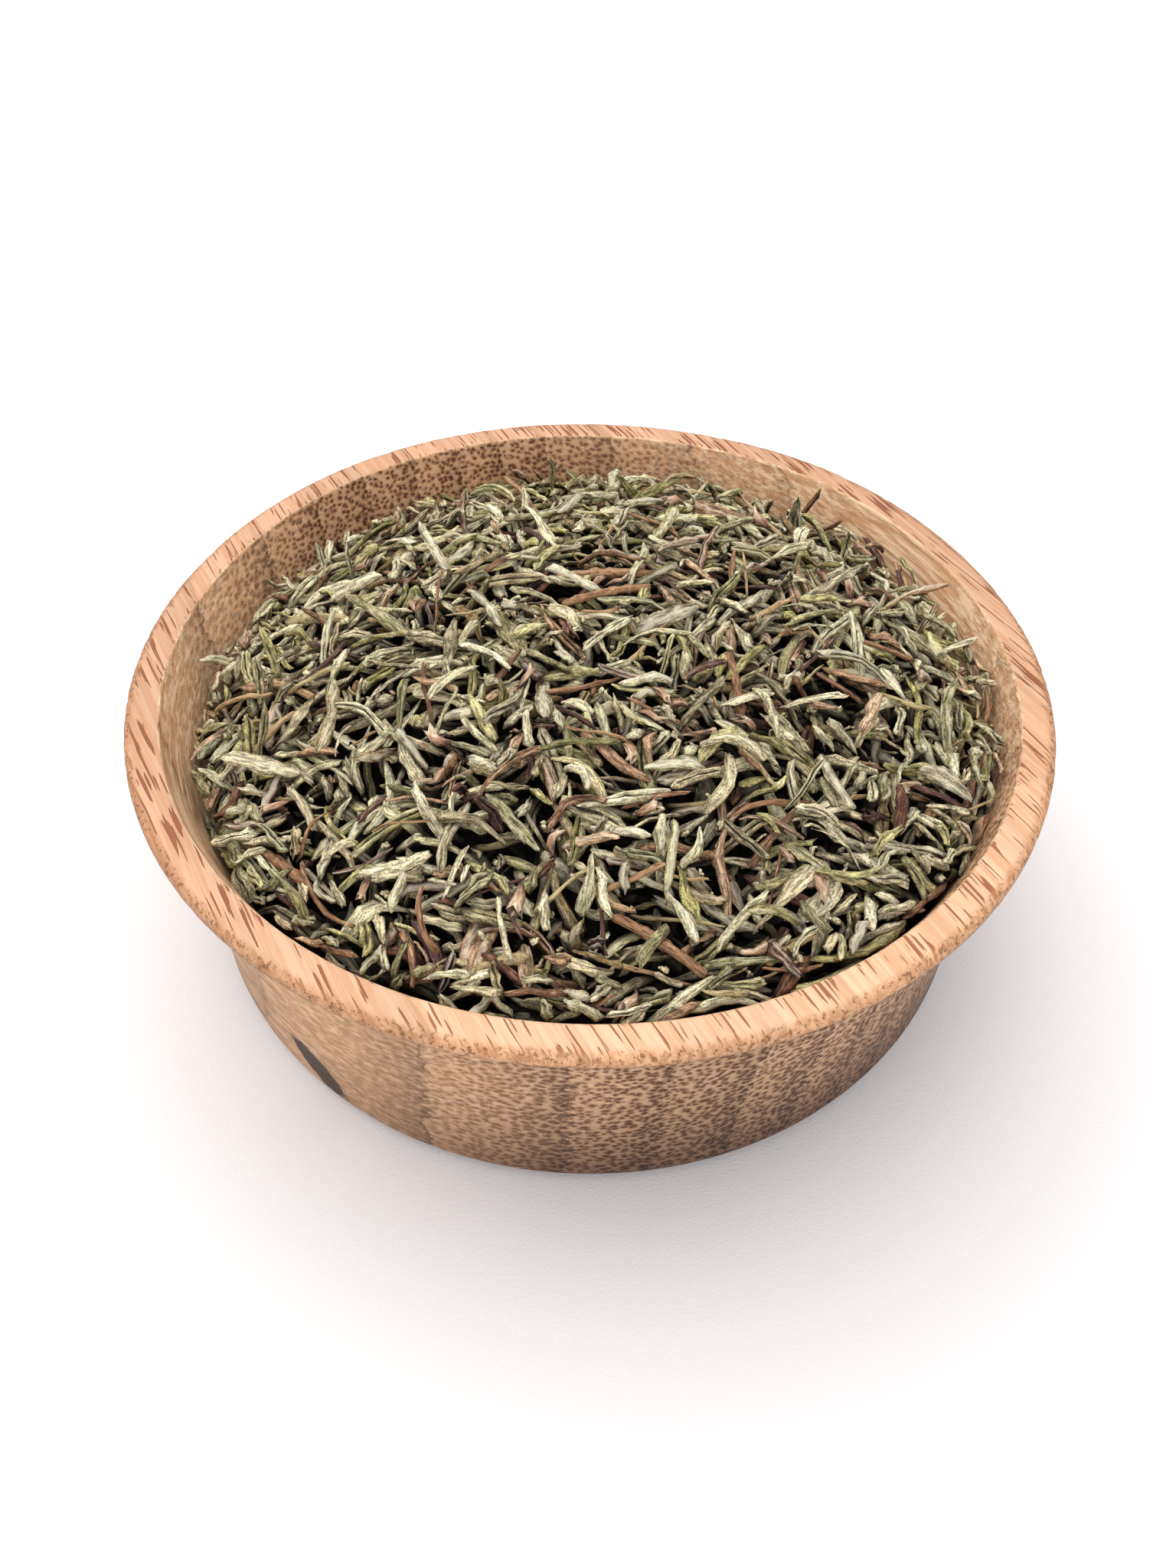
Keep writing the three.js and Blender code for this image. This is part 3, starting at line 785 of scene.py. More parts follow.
def leaf_grids(leaves, random):
    """Every leaf's points (leaf, ring, side, xyz) before it is laid down, its place on the leaf and
    its share of painted top light: 0 in a deep crease, 0.2 underneath and 1 on top, so that the
    crease and the underside carry painted shade."""
    count = len(leaves["length"])
    column = {name: value[:, None, None] for name, value in leaves.items()}
    along = RING_ALONG[None, :, None]
    angle = CORNERS + pi / 2
    in_crease = (CORNERS == 0) * (np.abs(along) < 0.9)
    wide = width_share(along, column) * (1 + random.normal(0, RING_CHANGE, (count, LEAF_RINGS, 1)))
    crumpled = 1 + random.normal(0, CRUMPLE, (count, LEAF_RINGS, LEAF_SIDES))
    side = 0.5 * column["width"] * np.cos(angle) * wide * crumpled
    lift = LIFT - in_crease * column["groove"]
    rise = 0.5 * column["thick"] * np.sin(angle) * lift * wide * crumpled
    turn = column["twist"] * along + pi * column["flip"]
    torn = random.normal(0, CRUMPLE, (count, LEAF_RINGS, LEAF_SIDES)) * (np.abs(along) > 0.9)
    forward = along * column["length"] / 2 + torn * column["width"] * column["blunt"]
    middle = leaf_middle(column, along) + random.normal(0, UNEVEN, (count, LEAF_RINGS, 1))
    across = leaf_across(column, along) + random.normal(0, UNEVEN, (count, LEAF_RINGS, 1))
    placed = np.stack([forward, across + side * np.cos(turn) - rise * np.sin(turn),
                       middle + side * np.sin(turn) + rise * np.cos(turn)], axis=-1)
    # painted light and shade: upper corners get a high share, the underside a low one and the
    # crease corner none
    crease = in_crease * np.clip(1.4 * column["groove"], 0, 1)
    ridge = (0.6 + 0.4 * np.sin(angle + turn)) * (1 - crease)
    ridge = ridge * random.uniform(0.8, 1.15, (count, 1, 1))
    return placed, np.stack([forward, side, rise], axis=-1), ridge


print(f"a leaf has {LEAF_RINGS} rings of {LEAF_SIDES} points and two tips")

# %% [markdown]
# ### The map of the heap
# The map is a table of heights, one for each small square cell of the heap. It starts well below
# the mound's surface, and the difference to that surface says where thyme is still missing. At
# the front the leaves are to lie higher against the wall, as after a shake of the bowl.

# %% Height map
CELL = 0.3
FIELD_HALF = 42.6
FILL_DEPTH = 4.6  # loose leaves reach this far under the mound's surface
LUMP_HEIGHT = 0.45  # how unevenly the thyme settled
PILED_UP = 1.8  # how much higher the leaves lie against the front wall
EDGE_WIDTH = 4  # width of the ring along the wall
WALL_CLEARANCE = 0.3
LUMP_SEED = 5
cells = int(2 * FIELD_HALF / CELL)
cell_middle = (np.arange(cells) + 0.5) * CELL - FIELD_HALF
field_x, field_y = np.meshgrid(cell_middle, cell_middle, indexing="ij")
from_axis = np.hypot(field_x, field_y)
target = mound_height(field_x, field_y) + LUMP_HEIGHT * patches(field_x, field_y, LUMP_SEED)
near_wall = np.exp(-((from_axis - HEAP_RIM) / EDGE_WIDTH) ** 2)
target += PILED_UP * near_wall * np.clip(-field_y / HEAP_RIM, 0, 1)
field = target - FILL_DEPTH
inside = from_axis < heap_radius(np.minimum(target, LIP_TOP)) - WALL_CLEARANCE
open_cells = np.argwhere(inside)
edge_cells = np.argwhere(inside & (from_axis > HEAP_RIM - EDGE_WIDTH))


def cell_at(x, y):
    """Row and column of the cell that holds each place."""
    return (np.clip(((x + FIELD_HALF) / CELL).astype(int), 0, cells - 1),
            np.clip(((y + FIELD_HALF) / CELL).astype(int), 0, cells - 1))


def turn_matrix(heading, pitch, roll):
    """Roll about the leaf, then pitch its front up, then turn it to its heading."""
    return np.array(Matrix.Rotation(heading, 3, "Z") @ Matrix.Rotation(-pitch, 3, "Y")
                    @ Matrix.Rotation(roll, 3, "X"))


UPPER_ALONG, UPPER_ACROSS = np.meshgrid(np.linspace(-0.94, 0.94, 25), np.linspace(-0.85, 0.85, 5))


def raise_field(leaf, turned, place):
    """Lifts the map to the leaf's upper side, a half ellipse over its width."""
    wide = width_share(UPPER_ALONG, leaf)
    own = np.stack([
        UPPER_ALONG * leaf["length"] / 2,
        UPPER_ACROSS * wide * leaf["width"] / 2 + leaf_across(leaf, UPPER_ALONG),
        leaf_middle(leaf, UPPER_ALONG)
        + leaf["thick"] / 2 * wide * np.sqrt(1 - UPPER_ACROSS ** 2)], axis=-1).reshape(-1, 3)
    world = own @ turned.T + place
    np.maximum.at(field, cell_at(world[:, 0], world[:, 1]), world[:, 2])


print(f"map of {cells} x {cells} cells, {len(open_cells)} of them inside the bowl")

# %% [markdown]
# ### Where a leaf comes to rest
# For a leaf above the map, the chord between one support in front of its middle and one behind
# that is highest at the middle is the line it comes to rest on. The difference in height
# between its left and right sides gives its roll. A leaf that would pass through the wall or
# stick out too far doesn't stay, and slides off.

# %% Resting
SUPPORTS = np.linspace(-0.92, 0.92, 13)  # along the leaf, with the middle at number 6
LANES = np.array([-0.36, 0.0, 0.36])  # across its width
LEAN_SUPPORTS = slice(3, 10)
SINK = 0.14  # share of its thickness that a leaf presses into those below
STAND_PROUD = 1.7  # a leaf whose end would stand higher than this over the mound slides off
LAST_PROUD = 3.0  # the same for the last ones, which nothing presses down
TALLEST = 34.5  # no middle line reaches above this
END_CLEARANCE = 0.2
ROLL_SHARE = 0.6  # a leaf follows this much of the slope under it
MOST_ROLL = 0.6


def balance(support, reach):
    """Height at the middle and slope of the chord that is highest at the middle."""
    back, front = support[:6, None], support[None, 7:]
    at_back, at_front = reach[:6, None], reach[None, 7:]
    chord = (back * at_front - front * at_back) / (at_front - at_back)
    i, j = np.unravel_index(np.argmax(chord), chord.shape)
    slope = (support[7 + j] - support[i]) / (reach[7 + j] - reach[i])
    return max(chord[i, j], support[6]), slope


def rest_on_field(x, y, heading, leaf, proud=STAND_PROUD):
    """Where a leaf that falls at (x, y) comes to rest: middle height, pitch and roll, or None
    where it can't stay."""
    reach = SUPPORTS * leaf["length"] / 2
    ahead, beside = np.array([cos(heading), sin(heading)]), np.array([-sin(heading), cos(heading)])
    places = (np.array([x, y]) + reach[None, :, None] * ahead
              + (LANES * leaf["width"])[:, None, None] * beside)
    ground = field[cell_at(places[..., 0], places[..., 1])]
    thick = leaf["thick"] / 2 * width_share(SUPPORTS, leaf)
    middle, slope = balance(ground.max(axis=0) - leaf_middle(leaf, SUPPORTS) + thick, reach)
    ends = places[1, [0, -1]]
    end_height = middle + slope * reach[[0, -1]]
    wall = heap_radius(np.minimum(end_height, LIP_TOP))
    upper_side = end_height + leaf["thick"] / 2
    if (np.any(np.hypot(*ends.T) - END_CLEARANCE > wall) or max(upper_side) > TALLEST
            or max(upper_side - mound_height(*ends.T)) > proud):
        return None
    right, _, left = ground[:, LEAN_SUPPORTS].mean(axis=1)
    lean = (left - right) / ((LANES[2] - LANES[0]) * leaf["width"])
    roll = np.clip(ROLL_SHARE * np.arctan(lean), -MOST_ROLL, MOST_ROLL)
    return middle - SINK * leaf["thick"], np.arctan(slope), roll


print(f"a leaf is felt for at {len(SUPPORTS)} places along it and {len(LANES)} across")

# %% [markdown]
# ### Letting leaves fall
# Each leaf falls where the heap is lowest among a few random cells, in one of a few ways round,
# and takes the one in which it lies lowest. Half of the leaves nearly follow their neighbours'
# way, so that they lie in small parallel bunches, as slid leaves do. If no way fits, a leaf is
# tried along the wall.

# %% Falling
MOST_LEAVES = 7000  # the heap is full after about half of them
FULLNESS = 0.45  # share of the map that has reached the mound's surface when the fall stops
LOOKS_EVERY = 50  # leaves between two looks at how full the heap is
TRIED_CELLS = 14
TRIED_WAYS = 4
BUNCHED, LOOSE = 0.35, 1.6  # spread of the ways round, in radians
TURN_OVER = 1.2  # how far the bunches turn from one patch to the next, in radians
WAY_SEED = 9
JOSTLE = 0.1  # tilt out of a leaf's rest, in radians
ROCK = 0.3  # the same about its length


def drop_leaves(leaves, random, jostle=JOSTLE, proud=STAND_PROUD, onto=open_cells, fullness=1):
    """Drops leaves one by one until the map is as full as asked. Returns their turns, their
    places and which ones stayed."""
    count = len(leaves["length"])
    turns, places, used = np.zeros((count, 3, 3)), np.zeros((count, 3)), np.zeros(count, bool)
    for i in range(count):
        leaf = {name: value[i] for name, value in leaves.items()}
        tried = onto[random.integers(0, len(onto), TRIED_CELLS)]
        gap = target[tuple(tried.T)] - field[tuple(tried.T)]
        x, y = cell_middle[tried[np.argmax(gap)]] + random.uniform(-CELL / 2, CELL / 2, 2)
        common = TURN_OVER * patches(x, y, WAY_SEED) + pi * random.integers(2)
        ways = common + random.normal(0, random.choice([BUNCHED, LOOSE]), TRIED_WAYS)
        along_wall = np.arctan2(y, x) + pi / 2
        rests = [(rest_on_field(x, y, way, leaf, proud), way) for way in (*ways, along_wall)]
        rests = [found for found in rests[:-1] if found[0]] or rests[-1:]
        if rests[0][0] is None:
            continue
        (middle, pitch, roll), heading = min(rests)
        tilt = random.normal(0, jostle)
        rise = abs(sin(tilt)) * leaf["length"] / 4
        reach = (abs(sin(pitch + tilt)) * leaf["length"] + leaf["thick"]) / 2
        if middle + rise + reach < TALLEST:
            pitch, middle = pitch + tilt, middle + rise
        turns[i] = turn_matrix(heading, pitch, roll + random.normal(0, ROCK))
        places[i] = x, y, middle
        used[i] = True
        raise_field(leaf, turns[i], places[i])
        if i % LOOKS_EVERY == 0 and np.mean((target - field)[inside] < 0) > fullness:
            break
    return turns, places, used


leaf_random = np.random.default_rng(21)
leaves = draw_leaves(MOST_LEAVES, leaf_random)
leaf_fall = drop_leaves(leaves, leaf_random, fullness=FULLNESS)
print(f"{leaf_fall[2].sum()} leaves settled")
print(f"surface minus nominal: {np.mean((field - target)[inside]):.2f} mm")

# %% [markdown]
# ### Loose stems
# Eleven pieces of dry stem lie on the mound where the CAD nodes are. A thyme stem is woody and
# slightly square, with a swelling wherever a pair of leaves grew and a pale core at each broken
# end. Each is a ten-sided section carried along the same bowed line as its node.

# %% Stems
STEM_BEND = 0.05  # how far the middle is bowed up and sideways, as a share of the length
STEM_LIFT = 0.9  # how far the middle line lies above the mound
# name: middle on the mound, heading in degrees, length and radius in mm, and place on the
# bark's colour scale, from purple-brown at 0 to straw at 1
STEMS = {
    "stem_crown_long": (1.5, 8.3, 7, 11, 0.5, 0.55),
    "stem_crown_short": (1.4, 4.9, 21, 9.3, 0.45, 0.5),
    "stem_upright": (13.3, -7.1, -85, 8.6, 0.48, 0.36),
    "stem_straw": (-28.5, 7, -22, 7.4, 0.6, 1.0),
    "stem_front": (6, -33.6, -31, 9, 0.5, 0.48),
    "stem_right": (16.5, -22.9, 52, 9.1, 0.42, 0.24),
    "stem_left_front": (-27.4, -24, -40, 9.4, 0.5, 0.42),
    "stem_dark": (-13, -33.4, -60, 5.4, 0.42, 0.0),
    "stem_stub": (-7.2, -35, 9, 4.8, 0.55, 0.88),
    "stem_left": (-29.4, -3.7, -37, 6.6, 0.45, 0.7),
    "stem_right_front": (17, -33, 35, 5.4, 0.45, 0.8),
}
STEM_RINGS = 26
STEM_SIDES = 10
SWELLING = 0.3  # share of the radius
SWELLING_REACH = 0.035  # share of the length
BARE = 0.86  # radius between the swellings
SQUARE = 0.07  # how much the four edges stand out
BARK_ROUGH = 0.035
TORN = 0.35  # how ragged the broken ends are, as a share of the radius


def stem_line(x, y, heading, length):
    """Quadratic Bezier between two ends on the mound; its middle point is bowed to one side
    and up by a share of the length. Returns points and unit tangents along it."""
    ahead = np.array([cos(radians(heading)), sin(radians(heading))])
    ends = []
    for half in (-length / 2, length / 2):
        place = np.array([x, y]) + half * ahead
        ends.append(np.append(place, mound_height(*place) + STEM_LIFT))
    middle = np.array([x - STEM_BEND * length * ahead[1], y + STEM_BEND * length * ahead[0],
                       mound_height(x, y) + STEM_LIFT + STEM_BEND * length])
    t = np.linspace(0.01, 0.99, STEM_RINGS)[:, None]
    points = (1 - t) ** 2 * ends[0] + 2 * t * (1 - t) * middle + t ** 2 * ends[1]
    tangent = (1 - t) * (middle - ends[0]) + t * (ends[1] - middle)
    return points, tangent / np.linalg.norm(tangent, axis=1, keepdims=True)


def stem_points(x, y, heading, length, radius, random):
    """Radius * (0.86 + 0.07 cos 4 angle + swellings + noise), with a swelling every 4 mm and
    torn ends. Returns the points and their places along and across the stem."""
    line, tangent = stem_line(x, y, heading, length)
    side = np.cross(tangent, [0, 0, 1])
    side /= np.linalg.norm(side, axis=1, keepdims=True)
    up = np.cross(side, tangent)
    angle = np.arange(STEM_SIDES) * 2 * pi / STEM_SIDES
    t = np.linspace(0, 1, STEM_RINGS)[:, None]
    swelling = sum(SWELLING * np.exp(-((t - place) / SWELLING_REACH) ** 2)
                   for place in random.uniform(0.1, 0.9, 1 + int(length / 4)))
    size = radius * (BARE + SQUARE * np.cos(4 * angle + random.uniform(0, 6)) + swelling
                     + random.normal(0, BARK_ROUGH, (STEM_RINGS, STEM_SIDES)))
    size[[0, -1]] *= random.uniform(0.55, 0.95, (2, STEM_SIDES))
    across, rise = size * np.cos(angle), size * np.sin(angle)
    points = line[:, None] + across[..., None] * side[:, None] + rise[..., None] * up[:, None]
    torn = random.normal(0, TORN * radius, (2, STEM_SIDES, 1))
    points[[0, -1]] += torn * tangent[[0, -1]][:, None]
    own = np.stack([t * length + 0 * across, across, rise], axis=-1)
    return [np.concatenate([grid.reshape(-1, 3), grid[[0, -1]].mean(axis=1)])
            for grid in (points, own)]


print(f"{len(STEMS)} stems, the longest {max(values[3] for values in STEMS.values())} mm")


# %% [markdown]
# ### Bark
# Dry thyme bark is red-brown and splits into pale strips along the stem. Young stems stay
# straw-coloured, and shaded ones go purple-brown, so one number picks the colour. It is drawn on
# places along and across each stem, because the strips follow the stem and not the bowl.

# %% Bark material
BARK_SCALE = ((0.0, "#4d2f33"), (0.2, "#5d402c"), (0.42, "#8a6244"), (0.6, "#a5805a"),
              (0.8, "#b1976c"), (1.0, "#b5a576"))
BARK_PER_MM = (0.8, 5.5, 5.5)  # strips 0.2 mm wide and 1.3 mm long
PAINTED_SHADE_BARK = "#0b0906"  # painted shade: what is left of the colour deep in the heap
BARK_IOR = 1.45
PLANT_IOR = 1.42  # leaves are dry and full of air, so it is below that of solid cellulose


def dry_bark():
    """Streaks move the place on the scale, peel to a pale layer and split down to a dark one."""
    material, tree, shader = new_material("dry_thyme_stem_bark")
    tint = node(tree, "Attribute", {"attribute_name": "tint"})["Fac"]
    own = node(tree, "Attribute", {"attribute_name": "leaf_place"})["Vector"]
    buried = node(tree, "Attribute", {"attribute_name": "buried"})["Fac"]
    streak = drawn_out_noise(tree, own, BARK_PER_MM, 5, 0.75)
    shifted = node(tree, "Math", TIMES_PLUS, (streak, 0.5, tint))["Value"]
    centred = node(tree, "Math", LESS, (shifted, 0.25))["Value"]
    colour = node(tree, "ValToRGB", None, (centred,), BARK_SCALE)["Color"]
    peeled = node(tree, "MapRange", SMOOTH, (streak, 0.55, 0.64, 0, 0.6))["Result"]
    colour = node(tree, "Mix", LAYER, {0: peeled, 6: colour, 7: "#dcb892"})[2]
    split = node(tree, "MapRange", SMOOTH, (streak, 0.48, 0.4, 0, 0.85))["Result"]
    colour = node(tree, "Mix", LAYER, {0: split, 6: colour, 7: "#3c2318"})[2]
    # painted shade: bark deep in the heap is painted nearly black
    colour = node(tree, "Mix", LAYER, {0: buried, 6: colour, 7: PAINTED_SHADE_BARK})[2]
    bump = node(tree, "Bump", None, {
        "Height": streak, "Strength": 0.8, "Distance": 0.1 * MM})["Normal"]
    fill(tree, shader, {"Base Color": colour, "Roughness": 0.7, "IOR": BARK_IOR, "Normal": bump})
    return material


# Air-dried bark: woody and fibrous, so the eye sees dull streaks and no shine.
bark = dry_bark()
STRETCH = 13  # mm of bark pattern between the stretches that two stems use
FIRST_STRETCH = 17  # where in the pattern the first stem begins
stem_random = np.random.default_rng(6)
for number, (name, values) in enumerate(STEMS.items(), FIRST_STRETCH):
    points, own = stem_points(*values[:5], stem_random)
    np.maximum.at(field, cell_at(points[:, 0], points[:, 1]), points[:, 2])
    piece = make_mesh("dry_" + name, points * MM, tube_faces(1, STEM_RINGS, STEM_SIDES), bark)
    finish_piece(piece, name, "thyme_stem", tint=values[5], buried=0.0,
                 leaf_place=own + [STRETCH * number, 0, 0])

# %% [markdown]
# ### Twigs and the last leaves
# Thin broken stalks fall in among the leaves, short leaves fill the ring along the wall, and a
# last handful of leaves falls over the stems, so that nothing looks placed on top. A few dry
# flower cups fall with them.

# %% Twigs, last leaves and flower cups
TWIGS = 120
EDGE_LEAVES = 330
LAST_LEAVES = 560
CALYCES = 56
LAST_JOSTLE = 0.45  # the last leaves lie loosest


def draw_twigs(count, random):
    """Thin broken stalks, as wide as they are thick and cut off square."""
    thick = random.uniform(0.28, 0.7, count)
    twigs = draw_leaves(count, random)
    twigs.update(length=random.uniform(2.2, 8.5, count), width=thick, thick=thick,
                 blunt=np.full(count, 3.0), groove=np.full(count, 0.12))
    return twigs


def draw_calyces(count, random):
    """Flower cups, nearly as thick as they are wide."""
    cups = draw_leaves(count, random)
    cups.update(length=random.uniform(1.9, 3.1, count), width=random.uniform(0.8, 1.3, count))
    cups["thick"] = cups["width"] * random.uniform(0.6, 0.95, count)
    return cups


twigs = draw_twigs(TWIGS, leaf_random)
twig_fall = drop_leaves(twigs, leaf_random, 2 * JOSTLE, LAST_PROUD)
edge_leaves = draw_leaves(EDGE_LEAVES, leaf_random, SHORT)
edge_fall = drop_leaves(edge_leaves, leaf_random, 2 * JOSTLE, LAST_PROUD, edge_cells)
last_leaves = draw_leaves(LAST_LEAVES, leaf_random)
last_fall = drop_leaves(last_leaves, leaf_random, LAST_JOSTLE, LAST_PROUD)
calyces = draw_calyces(CALYCES, leaf_random)
calyx_fall = drop_leaves(calyces, leaf_random, 2 * JOSTLE, LAST_PROUD)
for name, fall in (("twigs", twig_fall), ("leaves by the wall", edge_fall),
                   ("last leaves", last_fall), ("calyces", calyx_fall)):
    print(f"{fall[2].sum()} {name}")

# %% [markdown]
# ### Leaves that stand or show by themselves
# A few pieces catch the eye: broad flat leaves near the middle and the front, and blades and stalks
# that stand up along the far edge, where the heap runs down to the wall. Each is laid or stood one
# by one from a list, the flat ones by the same rule as the leaves that fall.

# %% Pieces placed one by one
# x, y, heading in degrees, length, width, thickness, arch, groove, place on the colour scale
FLAT_LEAVES = np.array([
    (-8.2, -0.6, 123, 7.6, 2.5, 0.4, 0.3, 0.35, 0.55),
    (-8.9, -33.0, 74, 6.4, 2.9, 0.35, 0.2, 0.3, 0.17),
    (-5.0, -35.2, 96, 4.6, 1.7, 0.35, 0.2, 0.4, 0.22),
    (-1.0, -24.2, 84, 6.8, 1.3, 0.7, 0.1, 0.9, 0.72),
    (-6.6, -22.6, 128, 8.2, 1.5, 0.6, 0.2, 0.5, 0.7),
    (3.0, -20.4, 12, 8.6, 1.5, 0.8, 0.5, 0.8, 0.62),
    (-1.2, -38.0, -20, 4.2, 0.9, 0.3, 0.1, 0.3, 0.99),
    (-24.5, -14.0, -38, 8.4, 1.3, 0.6, 0.2, 0.6, 0.7),
    (24.0, 9.0, 118, 7.8, 1.6, 0.6, 0.3, 0.7, 0.76),
    (19.5, -28.5, 48, 6.2, 2.3, 0.35, 0.2, 0.4, 0.5),
    (-13.5, -9.0, 160, 6.6, 1.8, 0.4, 0.3, 0.4, 0.3),
])
# foot x and y, heading and pitch in degrees, length, width, thickness, place on the colour scale
STANDING = np.array([
    (-5.2, 32.7, 60, 82, 6.4, 0.9, 0.5, 0.86), (5.8, 30.1, 165, 55, 5.6, 1.1, 0.6, 0.72),
    (8.6, 33.7, 160, 42, 4.8, 1.3, 0.5, 0.66), (-15.3, 30.2, 80, 70, 4.0, 0.9, 0.5, 0.6),
    (10.5, 31.3, 35, 40, 4.6, 0.8, 0.5, 0.5), (20.7, 27.0, 140, 52, 5.2, 1.0, 0.6, 0.62),
    (-35.6, 2.0, 176, 40, 5.4, 1.1, 0.6, 0.58), (-33.2, -13.8, 172, 46, 4.6, 0.9, 0.5, 0.66),
    (34.4, 4.6, 8, 28, 5.8, 1.1, 0.6, 0.46), (33.6, 7.9, 38, 50, 4.6, 0.8, 0.5, 0.04),
    (-29.0, 19.5, 120, 48, 4.6, 1.0, 0.5, 0.62), (-31.0, 14.6, 150, 40, 4.4, 0.9, 0.5, 0.5),
    (27.5, 20.0, 60, 44, 4.4, 1.0, 0.5, 0.7), (0.3, 31.5, 90, 74, 3.6, 0.8, 0.6, 0.12),
    (33.0, -13.6, -20, 38, 4.8, 1.0, 0.5, 0.55), (-22.0, 26.5, 110, 58, 4.2, 0.9, 0.5, 0.68),
])
FOOT_DEPTH = 1.0  # how far the foot of a standing blade is pushed in
PERCHED = 0.6  # height of a flat leaf that finds no rest
CRUMBS = 700


def hand_placed(random):
    """Leaf sizes, turns and places of the flat leaves, then of the standing blades."""
    flat, standing = FLAT_LEAVES, STANDING
    count = len(flat) + len(standing)
    chosen = draw_leaves(count, random)
    for name, flat_column, standing_column in (("length", 3, 4), ("width", 4, 5), ("thick", 5, 6)):
        chosen[name] = np.append(flat[:, flat_column], standing[:, standing_column])
    chosen["arch"][:len(flat)] = flat[:, 6]
    chosen["groove"][:len(flat)] = flat[:, 7]
    chosen["blunt"][:] = 0.3
    chosen["taper"][:] = 0.2
    chosen["flip"][:] = False
    turned, settled = np.zeros((count, 3, 3)), np.zeros((count, 3))
    for i, (x, y, heading) in enumerate(flat[:, :3]):
        leaf = {name: value[i] for name, value in chosen.items()}
        middle, pitch, roll = rest_on_field(x, y, radians(heading), leaf) or (
            mound_height(x, y) + PERCHED, 0, 0)
        turned[i] = turn_matrix(radians(heading), pitch, roll)
        settled[i] = x, y, middle
        raise_field(leaf, turned[i], settled[i])
    for i, (x, y, heading, pitch, length) in enumerate(standing[:, :5], len(flat)):
        foot = np.array([x, y, mound_height(x, y) - FOOT_DEPTH])
        turned[i] = turn_matrix(radians(heading), radians(pitch), random.uniform(-0.8, 0.8))
        settled[i] = foot + turned[i, :, 0] * length / 2
    return chosen, (turned, settled, np.ones(count, bool))


hand_leaves, hand_fall = hand_placed(leaf_random)
crumbs = draw_leaves(CRUMBS, leaf_random, CRUMB)
crumb_fall = drop_leaves(crumbs, leaf_random)
batches = (leaves, edge_leaves, last_leaves, crumbs, hand_leaves)
leaves = {name: np.concatenate([batch[name] for batch in batches]) for name in leaves}
leaf_fall = [np.concatenate(parts) for parts in zip(
    leaf_fall, edge_fall, last_fall, crumb_fall, hand_fall)]
print(f"{leaf_fall[2].sum()} leaves and crumbs in all")
print(f"surface minus nominal: {np.mean((field - target)[inside]):.2f} mm")

# %% [markdown]
# ### Colours of a leaf
# Most leaves dry to a grey-green khaki, some stay olive, and others turn brown, purple-brown or
# straw. One number for each leaf picks its place on that scale, and another says how deep it is
# buried, by which the lower leaves are painted nearly black as painted shade.

# %% Leaf colours
LEAF_SCALE = (
    (0.00, "#3d2b28"), (0.05, "#6d4a36"), (0.10, "#a78669"), (0.15, "#674a33"),
    (0.20, "#b79878"), (0.26, "#75603d"), (0.33, "#c9bb96"), (0.40, "#6e644b"),
    (0.48, "#d0c5a3"), (0.56, "#7a714d"), (0.64, "#c5bd9a"), (0.72, "#6a6439"),
    (0.80, "#b8ae7a"), (0.87, "#605c3f"), (0.91, "#aaa266"), (0.95, "#d0c297"),
    (1.00, "#e2d8b8"))
PATCHES_PER_MM = 0.7  # paler and darker parts of a leaf are 1.4 mm long
WRINKLES_PER_MM = (0.9, 4.2, 4.2)  # 0.24 mm wide and 1.1 mm long
SPECKS_PER_MM = 6  # glands and dust are 0.1 mm wide, drawn at 0.17 mm so that they show
# painted shade: what is left of a leaf's colour deep in the heap
PAINTED_SHADE_LEAF = "#070504"


